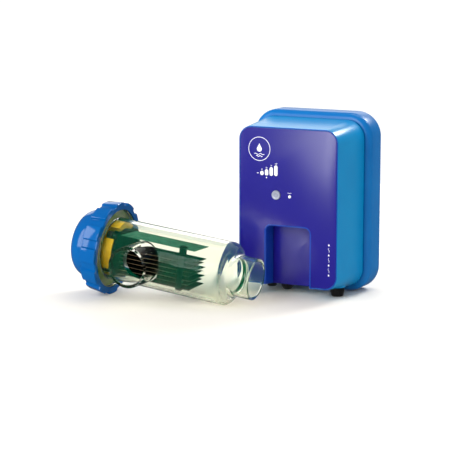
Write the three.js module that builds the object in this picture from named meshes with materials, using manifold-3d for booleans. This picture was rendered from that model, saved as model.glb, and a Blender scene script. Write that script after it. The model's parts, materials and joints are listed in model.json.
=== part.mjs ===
// Salt chlorine generator for a swimming pool, in millimetres with +Z up and the floor at Z = 0.
// A wall-mounting control unit stands on the floor and faces -Y. Its electrolysis cell lies to
// the left of it, on the rim of its nut and the far end of its tube. X runs along the unit's width.

import * as THREE from 'three';
import { mergeVertices } from 'three/addons/utils/BufferGeometryUtils.js';
import Module from 'manifold-3d';

const wasm = await Module();
wasm.setup();

// ---- Driving dimensions -------------------------------------------------------------------

const GAP = 0.3; // clearance between pieces that touch
const CORNER_STEPS = 6; // straight runs in a quarter of a rounded corner

// Control unit
const FRONT_WIDTH = 158;
const FRONT_HEIGHT = 233;
const FRONT_RADIUS = 20;
const FRONT_BOTTOM = 16.5; // lower edge of the front face above the floor
const FRONT_EDGE = 1.2; // rounding between the front face and the sides
const COVER_DEPTH = 79;
const COVER_DRAFT = 7.5; // how far each side of the cover spreads over its depth
const SHELL_WALL = 3;
const TRAY_DEPTH = 42;
const TRAY_EDGE = 9; // rounding along the front of the tray
const TRAY_STEP = 2.5; // gap-like groove between cover and tray
const PANEL_THICKNESS = 1.3;
const PANEL_INSET = 1.5; // width of cover that shows around the panel
const RECESS_WIDTH = 70.5;
const RECESS_HEIGHT = 88; // above the lower edge of the front face
const RECESS_DEPTH = 26;
const RECESS_RADIUS = 8;
const RECESS_BORDER = 2.1; // width of cover that shows around the recess
const BUTTON_RADIUS = 6.8;
const BUTTON_TRAVEL = 1.5;
const BUTTON_BACK = 8; // y of the end of the button's stem
const LAMP_WIDTH = 5.5;
const LAMP_PITCH = 7.5;
const FIRST_LAMP_X = -41.5;
const LAMP_BOTTOM = 161.7; // above the lower edge of the front face
const LENS_FRONT = -0.4; // lenses stand a little proud of the front face
const LENS_BACK = 8;
const LAMP_HEIGHTS = [6.3, 9, 12.5, 15.6];
const LED_RADIUS = 2.2;
const BOSS_TOP = 6; // inner face of the bosses above the lower edge of the front face
const DISPLAY_BOARD_Y = 13;
const POWER_BOARD_Y = 98;
const BOARD_THICKNESS = 1.6;
const BRACKET_LOW = 186; // the wall bracket's lower edge above the floor
const BRACKET_HEIGHT = 40;
const BRACKET_WIDTH = 72;
const BRACKET_THICKNESS = 2;

// Electrolysis cell: t runs along its axis from the open rim of the nut towards the end port
const TUBE_RADIUS = 46;
const TUBE_BORE = 42;
const TUBE_END = 188; // t at which the tube turns in to the end port
const PORT_RADIUS = 30;
const PORT_BORE = 25.5;
const END_PORT_RIM = 226;
const SIDE_PORT_T = 64;
const SIDE_PORT_REACH = 88; // from the cell's axis to the rim of the side port
const COLLAR_RADIUS = 58;
const COLLAR_LENGTH = 12.5;
const COLLAR_SETBACK = 1.5; // depth of the collar's front face inside the nut
const NUT_RADIUS = 69;
const NUT_LENGTH = 26;
const NUT_EDGE = 1.6;
const NUT_TAPER = 0.955; // size of the nut's back compared with its front
const NUT_LOBES = 12;
const NUT_LOBE_RISE = 3.6;
const NUT_PAD_SHARE = 0.6; // width of a grip pad in the space of one
const NUT_PHASE = 2; // turn of the first grip pad from straight up, in degrees
const HEAD_FLANGE_RADIUS = 57;
const DOME_LENGTH = 37.5;
const PLATE_COUNT = 7;
const PLATE_PITCH = 6.3;
const PLATE_WIDTH = 47;
const PLATE_THICKNESS = 1;
const LOWEST_PLATE = -30;
const PLATE_START = 17.3;
const PLATE_ENDS = [135, 131.5]; // the plates of one polarity reach further than the others
const SENSOR_PLATE_HEIGHT = 26.8;
const COMB_SPAN = [113, 122]; // t of the comb's two faces
const COMB_WIDTH = 7.5;
const COMB_BACK = 1.1; // how far the comb stands out past the plates' edges

// Where the cell lies beside the control unit
const CELL_RIM_X = -233;
const CELL_RIM_Y = -92;
const CELL_YAW = 2; // degrees

// ---- Worked out from them -----------------------------------------------------------------

const degrees = THREE.MathUtils.degToRad;
const MIDDLE_Z = FRONT_BOTTOM + FRONT_HEIGHT / 2;
const TRAY_MARGIN = FRONT_BOTTOM - COVER_DRAFT; // puts the tray's lower edge on the floor
const TRAY_BACK = COVER_DEPTH + TRAY_DEPTH;
const frontOutline = { width: FRONT_WIDTH, height: FRONT_HEIGHT, radius: FRONT_RADIUS };
const collarBack = -COLLAR_SETBACK - COLLAR_LENGTH;
const sealBack = collarBack - GAP - 2;
const flangeFront = sealBack - GAP;
const flangeBack = flangeFront - 4.5;
// The cell rests on the nut's chamfer and on the tube's far edge, which sets its tilt.
const CELL_TILT = Math.atan((NUT_RADIUS - TUBE_RADIUS) / (TUBE_END + NUT_EDGE));
const CELL_RIM_Z = NUT_RADIUS * Math.cos(CELL_TILT) - NUT_EDGE * Math.sin(CELL_TILT);

// ---- Finishes -----------------------------------------------------------------------------

const finishes = {
  coverBlue: { color: 0x2182b4, roughness: 0.35, metalness: 0 },
  trayBlue: { color: 0x0f64b9, roughness: 0.35, metalness: 0 },
  nutBlue: { color: 0x0f5ab4, roughness: 0.3, metalness: 0 },
  panelPurple: { color: 0x302d91, roughness: 0.15, metalness: 0 },
  clear: { color: 0xe6f5eb, roughness: 0.05, metalness: 0, transparent: true, opacity: 0.35 },
  white: { color: 0xf2f2f6, roughness: 0.4, metalness: 0 },
  silver: { color: 0xd4d4de, roughness: 0.35, metalness: 0.2 },
  black: { color: 0x101012, roughness: 0.35, metalness: 0 },
  rubber: { color: 0x18181a, roughness: 0.8, metalness: 0 },
  yellow: { color: 0xbea01e, roughness: 0.4, metalness: 0 },
  coatedTitanium: { color: 0x1b1c1e, roughness: 0.55, metalness: 0.5 },
  circuitBoard: { color: 0x1c6b3c, roughness: 0.5, metalness: 0 },
  steel: { color: 0xb4b8bc, roughness: 0.35, metalness: 1 },
  aluminium: { color: 0xc4c8cc, roughness: 0.4, metalness: 1 },
  windingTape: { color: 0xc79a2e, roughness: 0.5, metalness: 0 },
  glass: { color: 0xe8f0f0, roughness: 0.05, metalness: 0, transparent: true, opacity: 0.4 },
};

// ---- Solids -------------------------------------------------------------------------------

function solidOf(geometry) {
  const bare = geometry.clone();
  bare.deleteAttribute('normal');
  bare.deleteAttribute('uv');
  const joined = mergeVertices(bare, 1e-4);
  const triVerts = new Uint32Array(joined.index.array);
  const vertProperties = new Float32Array(joined.attributes.position.array);
  return new wasm.Manifold(new wasm.Mesh({ numProp: 3, vertProperties, triVerts }));
}

function geometryOf(solid) {
  const mesh = solid.getMesh();
  const geometry = new THREE.BufferGeometry();
  geometry.setAttribute('position', new THREE.BufferAttribute(mesh.vertProperties, 3));
  geometry.setIndex(new THREE.BufferAttribute(mesh.triVerts, 1));
  return geometry;
}

function addPart(group, name, solid, finish) {
  const mesh = new THREE.Mesh(geometryOf(solid), new THREE.MeshStandardMaterial(finish));
  mesh.name = name;
  group.add(mesh);
}

function block([x0, y0, z0], [x1, y1, z1]) {
  const geometry = new THREE.BoxGeometry(x1 - x0, y1 - y0, z1 - z0);
  geometry.translate((x0 + x1) / 2, (y0 + y1) / 2, (z0 + z1) / 2);
  return solidOf(geometry);
}

// Turned solid about the X axis: each profile point is [t, radius], and the ends are on the axis.
function turnedX(profile, steps) {
  const points = profile.map(([t, radius]) => new THREE.Vector2(radius, t));
  const geometry = new THREE.LatheGeometry(points, steps);
  geometry.rotateZ(-Math.PI / 2);
  return solidOf(geometry);
}

function turnedZ(profile, steps) {
  return turnedX(profile, steps).rotate([0, -90, 0]);
}

function turnedY(profile, steps) {
  return turnedX(profile, steps).rotate([0, 0, 90]);
}

function rodX(radius, from, to, steps = 24) {
  return turnedX([[from, 0], [from, radius], [to, radius], [to, 0]], steps);
}

function rodY(radius, from, to, steps = 24) {
  return turnedY([[from, 0], [from, radius], [to, radius], [to, 0]], steps);
}

function rodZ(radius, from, to, steps = 24) {
  return turnedZ([[from, 0], [from, radius], [to, radius], [to, 0]], steps);
}

// Points round a rounded rectangle centred on the origin of the XZ plane, grown by an offset.
function roundedOutline({ width, height, radius }, grow) {
  const cornerRadius = Math.max(radius + grow, 0.5);
  const cornerX = width / 2 + grow - cornerRadius;
  const cornerZ = height / 2 + grow - cornerRadius;
  const points = [];
  for (let corner = 0; corner < 4; corner++) {
    const signX = corner === 0 || corner === 3 ? 1 : -1;
    const signZ = corner < 2 ? 1 : -1;
    for (let step = 0; step <= CORNER_STEPS; step++) {
      const angle = (corner + step / CORNER_STEPS) * Math.PI / 2;
      points.push([
        signX * cornerX + cornerRadius * Math.cos(angle),
        signZ * cornerZ + cornerRadius * Math.sin(angle),
      ]);
    }
  }
  return points;
}

// A solid lofted along Y through offsets of one rounded rectangle: each section is [y, grow].
function loftY(outline, sections, centreX = 0, centreZ = MIDDLE_Z) {
  const rings = sections.map(([y, grow]) => roundedOutline(outline, grow)
    .map(([x, z]) => [centreX + x, y, centreZ + z]));
  const count = rings[0].length;
  const triangles = [];
  for (let i = 0; i < count; i++) {
    const next = (i + 1) % count;
    for (let ring = 0; ring + 1 < rings.length; ring++) {
      const near = ring * count;
      const far = near + count;
      triangles.push(near + i, far + i, near + next, near + next, far + i, far + next);
    }
  }
  const last = (rings.length - 1) * count;
  for (let i = 1; i + 1 < count; i++) {
    triangles.push(0, i, i + 1, last, last + i + 1, last + i);
  }
  const geometry = new THREE.BufferGeometry();
  const positions = new Float32Array(rings.flat(2));
  geometry.setAttribute('position', new THREE.BufferAttribute(positions, 3));
  geometry.setIndex(triangles);
  return solidOf(geometry);
}

// Sections that round an edge over a quarter circle, from the flat face to the side.
function roundedEdge(y, radius, grow = 0, steps = 3) {
  const sections = [];
  for (let step = 0; step <= steps; step++) {
    const angle = (step / steps) * Math.PI / 2;
    const setBack = radius * (1 - Math.cos(angle));
    sections.push([y + setBack, grow - radius * (1 - Math.sin(angle))]);
  }
  return sections;
}

// ---- Control unit -------------------------------------------------------------------------

const unit = new THREE.Group();

function coverGrow(y) {
  return COVER_DRAFT * Math.max(0, (y - FRONT_EDGE) / (COVER_DEPTH - FRONT_EDGE));
}

// The pocket in the middle of the front, open at the bottom, grown by an offset all round.
function recessBlock(grow, depth) {
  const height = RECESS_HEIGHT + FRONT_BOTTOM + 40;
  const outline = { width: RECESS_WIDTH, height, radius: RECESS_RADIUS };
  const top = FRONT_BOTTOM + RECESS_HEIGHT;
  return loftY(outline, [[-2, grow], [depth, grow]], 0, top - height / 2);
}

function lampShape(index, grow) {
  const height = LAMP_HEIGHTS[index];
  const outline = { width: LAMP_WIDTH, height, radius: LAMP_WIDTH / 2 - 0.1 };
  const x = FIRST_LAMP_X + index * LAMP_PITCH;
  const middle = FRONT_BOTTOM + LAMP_BOTTOM + height / 2;
  return loftY(outline, [[LENS_FRONT, grow], [LENS_BACK, grow]], x, middle);
}

const buttonPlace = [-18.5, 0, FRONT_BOTTOM + 134];
const ledPlace = [3.2, 0, FRONT_BOTTOM + 132.8];

function frontHoles() {
  const lamps = LAMP_HEIGHTS.map((height, index) => lampShape(index, GAP));
  const through = LENS_BACK + 2;
  const button = rodY(BUTTON_RADIUS + GAP, -2, through).translate(buttonPlace);
  const led = rodY(LED_RADIUS + GAP, -2, through, 16).translate(ledPlace);
  return [...lamps, button, led].reduce((joined, hole) => joined.add(hole));
}

// Pieces that pass through the underside, each in a level spot face under an inner boss.
const mainsGland = { place: [-26, 57, 0], boss: 11, hole: 6.5, nut: 9.3, nose: 6 };
const cellGland = { place: [60.5, 45, 0], boss: 12, hole: 6.5, nut: 10.5, nose: 9 };
const fuseMount = { place: [-46.5, 46, 0], boss: 9, hole: 5.5 };

// Height of an opening's level spot face, cut up to the sloping underside at its front edge.
function spotFace({ place, boss }) {
  return FRONT_BOTTOM - coverGrow(place[1] - boss) - 0.2;
}

function innerBoss(opening) {
  const low = FRONT_BOTTOM - coverGrow(opening.place[1] - opening.boss) + 0.2;
  return rodZ(opening.boss, low, FRONT_BOTTOM + BOSS_TOP).translate(opening.place);
}

function frontCover() {
  const outer = loftY(frontOutline, [
    ...roundedEdge(0, FRONT_EDGE),
    [COVER_DEPTH, COVER_DRAFT],
  ]);
  const cavity = loftY(frontOutline, [
    [SHELL_WALL + 1.6, -SHELL_WALL],
    [COVER_DEPTH + 1, COVER_DRAFT - SHELL_WALL],
  ]);
  const hollow = cavity.subtract(recessBlock(SHELL_WALL, RECESS_DEPTH + SHELL_WALL));
  const panelPocket = loftY(frontOutline, [
    [-1, -PANEL_INSET],
    [PANEL_THICKNESS + GAP, -PANEL_INSET],
  ]).subtract(recessBlock(RECESS_BORDER, RECESS_DEPTH));
  const openings = [mainsGland, cellGland, fuseMount];
  let cover = outer.subtract(hollow);
  for (const opening of openings) cover = cover.add(innerBoss(opening));
  cover = cover.subtract(panelPocket).subtract(recessBlock(0, RECESS_DEPTH)).subtract(frontHoles());
  for (const opening of openings) {
    const { place, hole, boss } = opening;
    cover = cover.subtract(rodZ(hole + GAP, -5, 2 * FRONT_BOTTOM).translate(place));
    cover = cover.subtract(rodZ(boss, -5, spotFace(opening)).translate(place));
  }
  return cover;
}

function frontPanel() {
  return loftY(frontOutline, [[0, -PANEL_INSET - GAP], [PANEL_THICKNESS, -PANEL_INSET - GAP]])
    .subtract(recessBlock(RECESS_BORDER + GAP, RECESS_DEPTH))
    .subtract(frontHoles());
}

// The sheet at the back of the recess, from under its rounded top down to the cover's underside.
function recessPanel() {
  const inset = -1;
  const back = RECESS_DEPTH - GAP;
  const bottom = FRONT_BOTTOM - coverGrow(RECESS_DEPTH - PANEL_THICKNESS) + GAP;
  const outline = { width: RECESS_WIDTH, height: 2 * RECESS_HEIGHT, radius: RECESS_RADIUS };
  const sheet = loftY(outline, [[back - PANEL_THICKNESS, inset], [back, inset]], 0, FRONT_BOTTOM);
  const lowest = FRONT_BOTTOM - 2 * RECESS_HEIGHT;
  return sheet.subtract(block([-RECESS_WIDTH, 0, lowest], [RECESS_WIDTH, COVER_DEPTH, bottom]));
}

function backTray() {
  const rear = COVER_DRAFT + TRAY_MARGIN;
  const front = COVER_DEPTH + TRAY_STEP;
  const outer = loftY(frontOutline, [
    ...roundedEdge(front, TRAY_EDGE, rear, 4),
    [TRAY_BACK - 2, rear],
    [TRAY_BACK, rear - 2],
  ]);
  const cavity = loftY(frontOutline, [
    [front - 1, COVER_DRAFT - 5],
    [front + 6, COVER_DRAFT - 5],
    [front + 12, rear - SHELL_WALL - 2],
    [TRAY_BACK - SHELL_WALL, rear - SHELL_WALL - 2],
  ]);
  const neck = loftY(frontOutline, [
    [COVER_DEPTH + GAP, COVER_DRAFT - 2.5],
    [front + 1, COVER_DRAFT - 2.5],
  ]);
  const neckBore = loftY(frontOutline, [
    [COVER_DEPTH - 1, COVER_DRAFT - 5],
    [front + 2, COVER_DRAFT - 5],
  ]);
  const side = BRACKET_WIDTH / 2;
  const bracketTop = BRACKET_LOW + BRACKET_HEIGHT;
  const pocketFloor = TRAY_BACK - BRACKET_THICKNESS - GAP;
  const bracketPocket = block([-side, pocketFloor, BRACKET_LOW], [side, TRAY_BACK + 1, bracketTop]);
  const toroidBolt = rodY(4 + GAP, TRAY_BACK - 12, TRAY_BACK - 1).translate(toroidPlace);
  const pocketWall = block(
    [-side - 4, TRAY_BACK - 6, BRACKET_LOW - 4],
    [side + 4, TRAY_BACK - 1, bracketTop + 4],
  );
  return outer.add(neck).subtract(cavity).subtract(neckBore).add(pocketWall)
    .subtract(bracketPocket).subtract(toroidBolt);
}

function coverGasket() {
  const outside = COVER_DRAFT - 5 - GAP;
  const ring = loftY(frontOutline, [[COVER_DEPTH - 2, outside], [COVER_DEPTH + 5, outside]]);
  const bore = loftY(frontOutline, [[COVER_DEPTH - 3, outside - 3], [COVER_DEPTH + 6, outside - 3]]);
  return ring.subtract(bore);
}

function onButton() {
  const profile = [
    [-1.6, 0], [-1.6, BUTTON_RADIUS - 1], [-0.6, BUTTON_RADIUS], [5, BUTTON_RADIUS],
    [5, BUTTON_RADIUS + 1.6], [6.2, BUTTON_RADIUS + 1.6], [6.2, 2.2],
    [BUTTON_BACK, 2.2], [BUTTON_BACK, 0],
  ];
  return turnedY(profile, 32).translate(buttonPlace);
}

// A circuit board that stands square to Y behind a given plane.
function board(halfWidth, y, low, high) {
  return block([-halfWidth, y, FRONT_BOTTOM + low], [halfWidth, y + BOARD_THICKNESS, FRONT_BOTTOM + high]);
}

function displayBoard() {
  return board(58, DISPLAY_BOARD_Y, 110, 190);
}

function tactSwitch() {
  const [x, , z] = buttonPlace;
  const front = DISPLAY_BOARD_Y - 2.6;
  const body = block([x - 3, front, z - 3], [x + 3, DISPLAY_BOARD_Y - GAP, z + 3]);
  const plunger = rodY(1.7, BUTTON_BACK + BUTTON_TRAVEL + GAP, front + 0.6, 12);
  return body.add(plunger.translate(buttonPlace));
}

const toroidPlace = [0, 0, 72];
const TOROID = { radius: 48, hole: 17, front: 70, back: 113 };

function toroid() {
  const { radius, hole, front, back } = TOROID;
  const round = 6;
  const outside = [[front + round, radius], [back - round, radius]];
  const profile = [
    [front, 0], [front, radius - round], ...outside, [back, radius - round], [back, 0],
  ];
  return turnedY(profile, 32).subtract(rodY(hole, front - 1, back + 1)).translate(toroidPlace);
}

function toroidDisc() {
  const disc = rodY(24, TOROID.front - 2.5, TOROID.front - GAP);
  return disc.subtract(rodY(4 + GAP, 60, 80)).translate(toroidPlace);
}

function toroidBolt() {
  const head = rodY(6.5, TOROID.front - 8, TOROID.front - 2.5 - GAP, 6);
  return head.add(rodY(4, TOROID.front - 6, TRAY_BACK - 4)).translate(toroidPlace);
}

function powerBoard() {
  return board(70, POWER_BOARD_Y, 106, 208);
}

const HEATSINK = { left: -62, right: 34, low: 156, height: 44, fins: 9, finThickness: 2 };

function heatsink() {
  const { left, right, height, fins, finThickness } = HEATSINK;
  const low = FRONT_BOTTOM + HEATSINK.low;
  const base = POWER_BOARD_Y - 8;
  const pitch = (right - left - finThickness) / (fins - 1);
  let sink = block([left, base, low], [right, POWER_BOARD_Y - 1 - GAP, low + height]);
  for (let fin = 0; fin < fins; fin++) {
    const x = left + fin * pitch;
    sink = sink.add(block([x, base - 22, low], [x + finThickness, base + 1, low + height]));
  }
  return sink;
}

const TERMINALS = { left: -60, low: 112, ways: 6, pitch: 13, depth: 14, hole: 2.6 };

function terminalBlock() {
  const { left, ways, pitch, depth, hole } = TERMINALS;
  const low = FRONT_BOTTOM + TERMINALS.low;
  const front = POWER_BOARD_Y - depth;
  const right = left + ways * pitch + 2;
  let body = block([left, front, low], [right, POWER_BOARD_Y - GAP, low + depth]);
  for (let way = 0; way < ways; way++) {
    const x = left + (way + 0.5) * pitch + 0.5;
    body = body.subtract(rodY(hole, front - 4, front + 4, 12).translate([x, 0, low + depth / 2]));
  }
  return body;
}

function capacitor(x) {
  const length = 36;
  return rodY(9, POWER_BOARD_Y - length, POWER_BOARD_Y - GAP).translate([x, 0, FRONT_BOTTOM + 140]);
}

function wallBracket() {
  const side = BRACKET_WIDTH / 2 - GAP;
  const high = BRACKET_LOW + BRACKET_HEIGHT - GAP;
  const front = TRAY_BACK - BRACKET_THICKNESS;
  let plate = block([-side, front, BRACKET_LOW + GAP], [side, TRAY_BACK, high]);
  for (const x of [-BRACKET_WIDTH / 3, BRACKET_WIDTH / 3]) {
    const place = [x, 0, BRACKET_LOW + BRACKET_HEIGHT / 2];
    plate = plate.subtract(rodY(3, front - 2, TRAY_BACK + 1, 16).translate(place));
  }
  return plate;
}

// A cable gland under the cover: a threaded body, a nut below it and a rubber seal in the nut.
function glandBody({ place, hole }) {
  return rodZ(hole, 4.6, 34).subtract(rodZ(hole - 2, 3, 35, 16)).translate(place);
}

function glandNut(gland) {
  const top = spotFace(gland) - GAP;
  const profile = [
    [0, 0], [0, gland.nose - 1], [1, gland.nose], [top * 0.45, gland.nut - 0.4],
    [top * 0.6, gland.nut], [top - 0.6, gland.nut], [top, gland.nut - 0.6], [top, 0],
  ];
  const bore = rodZ(gland.hole + GAP, 4.3, top + 1).add(rodZ(3.6, -1, 5, 16));
  return turnedZ(profile, 24).subtract(bore).translate(gland.place);
}

function glandSeal({ place, hole }) {
  const inside = rodZ(hole - 2 - GAP, 4.7, 6, 16);
  return rodZ(3.3, 0.8, 5, 16).add(inside).translate(place);
}

function glandLocknut({ place, hole }) {
  const low = FRONT_BOTTOM + BOSS_TOP + GAP;
  return rodZ(10.5, low, low + 4, 6).subtract(rodZ(hole + GAP, low - 1, low + 5)).translate(place);
}

function fuseHolder({ place, hole }) {
  return rodZ(hole, 9.6, 60).subtract(rodZ(3.4, 9, 50, 16)).translate(place);
}

function fuseCap({ place }) {
  const grip = rodZ(7, 5.2, 9.2, 16);
  const slot = block([-5, -0.6, 4], [5, 0.6, 6.2]);
  return grip.add(rodZ(3, 8, 16, 16)).subtract(slot).translate(place);
}

function fuse({ place }) {
  return rodZ(2.6, 16 + GAP, 48, 12).translate(place);
}

function buildUnit() {
  addPart(unit, 'front_cover', frontCover(), finishes.coverBlue);
  addPart(unit, 'back_tray', backTray(), finishes.trayBlue);
  addPart(unit, 'cover_gasket', coverGasket(), finishes.rubber);
  addPart(unit, 'front_panel', frontPanel(), finishes.panelPurple);
  addPart(unit, 'recess_panel', recessPanel(), finishes.panelPurple);
  LAMP_HEIGHTS.forEach((height, index) => {
    addPart(unit, `level_lamp_${index + 1}`, lampShape(index, 0), finishes.white);
  });
  const led = rodY(LED_RADIUS, LENS_FRONT - 0.1, LENS_BACK, 16).translate(ledPlace);
  addPart(unit, 'status_led', led, finishes.white);
  addPart(unit, 'on_button', onButton(), finishes.silver);
  addPart(unit, 'tact_switch', tactSwitch(), finishes.black);
  addPart(unit, 'display_board', displayBoard(), finishes.circuitBoard);
  addPart(unit, 'power_board', powerBoard(), finishes.circuitBoard);
  addPart(unit, 'heatsink', heatsink(), finishes.aluminium);
  addPart(unit, 'terminal_block', terminalBlock(), finishes.circuitBoard);
  addPart(unit, 'capacitor_left', capacitor(-20), finishes.black);
  addPart(unit, 'capacitor_right', capacitor(52), finishes.black);
  addPart(unit, 'toroid', toroid(), finishes.windingTape);
  addPart(unit, 'toroid_disc', toroidDisc(), finishes.steel);
  addPart(unit, 'toroid_bolt', toroidBolt(), finishes.steel);
  addPart(unit, 'wall_bracket', wallBracket(), finishes.steel);
  for (const [name, gland] of [['mains_gland', mainsGland], ['cell_gland', cellGland]]) {
    addPart(unit, `${name}_body`, glandBody(gland), finishes.black);
    addPart(unit, `${name}_nut`, glandNut(gland), finishes.black);
    addPart(unit, `${name}_seal`, glandSeal(gland), finishes.rubber);
    addPart(unit, `${name}_locknut`, glandLocknut(gland), finishes.black);
  }
  addPart(unit, 'fuse_holder', fuseHolder(fuseMount), finishes.black);
  addPart(unit, 'fuse_cap', fuseCap(fuseMount), finishes.black);
  addPart(unit, 'fuse', fuse(fuseMount), finishes.glass);
}

// ---- Electrolysis cell --------------------------------------------------------------------
// Every solid below is built in the cell's own frame: +X is t along the axis from the nut's rim
// to the end port, -Y is the way the side port points, and +Z is up, square to the axis.

const cell = new THREE.Group();

function portShape(radius, bore, reach) {
  const tube = [
    [20, 0], [20, radius], [reach - 1, radius], [reach, radius - 1], [reach, 0],
  ];
  const inside = [[18, 0], [18, bore], [reach - 1, bore], [reach + 1, bore + 2], [reach + 1, 0]];
  return { tube, inside };
}

function cellHousing() {
  const body = turnedX([
    [collarBack, 0], [collarBack, COLLAR_RADIUS], [-COLLAR_SETBACK - 0.8, COLLAR_RADIUS],
    [-COLLAR_SETBACK, COLLAR_RADIUS - 0.8], [-COLLAR_SETBACK, TUBE_RADIUS],
    [TUBE_END, TUBE_RADIUS], [TUBE_END + 3.5, TUBE_RADIUS - 1.5], [TUBE_END + 6, TUBE_RADIUS - 5],
    [TUBE_END + 7.5, PORT_RADIUS + 4], [TUBE_END + 9, PORT_RADIUS + 1],
    [TUBE_END + 12, PORT_RADIUS], [END_PORT_RIM - 1, PORT_RADIUS],
    [END_PORT_RIM, PORT_RADIUS - 1], [END_PORT_RIM, 0],
  ], 48);
  const inside = turnedX([
    [collarBack - 1, 0], [collarBack - 1, TUBE_BORE], [TUBE_END - 10, TUBE_BORE],
    [TUBE_END - 6, TUBE_BORE - 1.5], [TUBE_END - 4, TUBE_BORE - 5],
    [TUBE_END - 3, PORT_BORE], [END_PORT_RIM - 1, PORT_BORE],
    [END_PORT_RIM + 1, PORT_BORE + 2], [END_PORT_RIM + 1, 0],
  ], 48);
  const port = portShape(PORT_RADIUS, PORT_BORE, SIDE_PORT_REACH);
  const sideways = (profile) => turnedX(profile, 48).rotate([0, 0, -90])
    .translate([SIDE_PORT_T, 0, 0]);
  return body.add(sideways(port.tube)).subtract(inside).subtract(sideways(port.inside));
}

function nutOutline() {
  const shape = new THREE.Shape();
  const valley = NUT_RADIUS - NUT_LOBE_RISE;
  const pitch = 2 * Math.PI / NUT_LOBES;
  const start = Math.PI / 2 + degrees(NUT_PHASE);
  for (let lobe = 0; lobe < NUT_LOBES; lobe++) {
    const middle = start + lobe * pitch;
    const half = NUT_PAD_SHARE / 2;
    const pad = [-1, -0.5, 0, 0.5, 1].map((step) => [step * half, NUT_RADIUS]);
    const groove = [half + 0.03, 0.5, 1 - half - 0.03].map((share) => [share, valley]);
    const corners = [...pad, ...groove];
    corners.forEach(([share, radius], index) => {
      const x = (radius - NUT_EDGE) * Math.cos(middle + share * pitch);
      const y = (radius - NUT_EDGE) * Math.sin(middle + share * pitch);
      if (lobe === 0 && index === 0) shape.moveTo(x, y);
      else shape.lineTo(x, y);
    });
  }
  shape.closePath();
  return shape;
}

function unionNut() {
  const geometry = new THREE.ExtrudeGeometry(nutOutline(), {
    depth: NUT_LENGTH - 2 * NUT_EDGE,
    bevelThickness: NUT_EDGE,
    bevelSize: NUT_EDGE,
    bevelSegments: 1,
  });
  geometry.translate(0, 0, NUT_EDGE - NUT_LENGTH);
  const positions = geometry.attributes.position;
  for (let i = 0; i < positions.count; i++) {
    const size = 1 + (1 - NUT_TAPER) * Math.min(0, positions.getZ(i) + NUT_EDGE) / NUT_LENGTH;
    positions.setXY(i, positions.getX(i) * size, positions.getY(i) * size);
  }
  geometry.rotateX(Math.PI / 2);
  geometry.rotateZ(Math.PI / 2);
  const threadBore = turnedX([
    [flangeBack - GAP, 0], [flangeBack - GAP, COLLAR_RADIUS + 0.5], [1, COLLAR_RADIUS + 0.5], [1, 0],
  ], 48);
  const rearLip = rodX(54.5, -NUT_LENGTH - 1, 0, 48);
  return solidOf(geometry).subtract(threadBore).subtract(rearLip);
}

function headCover() {
  const front = flangeBack - GAP;
  const back = front - DOME_LENGTH;
  const outer = turnedX([
    [back, 0], [back, 24], [back + 1, 32], [back + 3.5, 40], [back + 8, 46.5],
    [back + 14, 50.5], [back + 24, 53], [front, 54], [front, 0],
  ], 48);
  const inner = turnedX([
    [back + 3, 0], [back + 3, 24], [back + 6.5, 37], [back + 16, 47], [front + 1, 50.5], [front + 1, 0],
  ], 36);
  return outer.subtract(inner).subtract(rodX(8 + GAP, back - 1, back + 5));
}

function headGland() {
  const back = flangeBack - GAP - DOME_LENGTH;
  const ring = turnedX([
    [back - 2.6, 0], [back - 2.6, 9], [back - GAP, 11], [back - GAP, 8], [back + 9, 8], [back + 9, 0],
  ], 24);
  return ring.subtract(rodX(4, back - 4, back + 10, 16));
}

function headGlandSeal() {
  const back = flangeBack - GAP - DOME_LENGTH;
  return rodX(4 - GAP, back - 2, back + 8, 16);
}

function headScrew(index) {
  const angle = Math.PI / 4 + index * Math.PI / 2;
  const place = [0, 18 * Math.cos(angle), 18 * Math.sin(angle)];
  const back = flangeBack - GAP - DOME_LENGTH;
  return rodX(3.2, back - 1.4, back - GAP, 12).translate(place);
}

const SKIRT_REACH = 12; // how far the head's skirt goes into the tube
const SKIRT_FLOOR = -3; // t of the floor of the hollow inside the skirt
const CARRIER_RADIUS = 40.5;
const CARRIER_NECK_RADIUS = 28.5;
const BOOT_RADIUS = 5.2;
const BOOT_CIRCLE = 34.5;

function bootPlace(index) {
  const angle = Math.PI / 4 + index * Math.PI / 2;
  return [0, BOOT_CIRCLE * Math.cos(angle), BOOT_CIRCLE * Math.sin(angle)];
}

function electrodeHead() {
  const flange = rodX(HEAD_FLANGE_RADIUS, flangeBack, flangeFront, 48);
  const plug = rodX(TUBE_BORE - 0.8, flangeBack, SKIRT_REACH, 48)
    .subtract(rodX(TUBE_BORE - 9, SKIRT_FLOOR, SKIRT_REACH + 1, 36));
  let head = flange.add(plug);
  for (let index = 0; index < 4; index++) {
    head = head.subtract(rodX(11, -5, SKIRT_REACH + 1, 16).translate(bootPlace(index)));
  }
  return head;
}

function headSeal() {
  const outer = rodX(HEAD_FLANGE_RADIUS, sealBack, collarBack - GAP, 48);
  return outer.subtract(rodX(TUBE_BORE - 0.8 + GAP, sealBack - 1, collarBack, 48));
}

function terminalBoot(index) {
  const profile = [
    [-5 + GAP, 0], [-5 + GAP, BOOT_RADIUS], [4, BOOT_RADIUS], [5, BOOT_RADIUS - 1],
    [5, 2.4], [9, 2.4], [9, 0],
  ];
  return turnedX(profile, 16).translate(bootPlace(index));
}

// A disc that closes the tube's bore, with a flat along its top and a neck inside the skirt.
function plateCarrier() {
  const flat = SENSOR_PLATE_HEIGHT + 4;
  const disc = rodX(CARRIER_RADIUS, SKIRT_REACH + GAP, PLATE_START - GAP, 48)
    .subtract(block([SKIRT_REACH, -TUBE_BORE, flat], [PLATE_START, TUBE_BORE, TUBE_BORE + 1]));
  return disc.add(rodX(CARRIER_NECK_RADIUS, SKIRT_FLOOR + GAP, SKIRT_REACH + 1, 32));
}

function plate(height, end, grow = 0) {
  const half = PLATE_WIDTH / 2 + grow;
  const thick = PLATE_THICKNESS / 2 + grow;
  return block([PLATE_START - grow, -half, height - thick], [end + grow, half, height + thick]);
}

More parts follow.
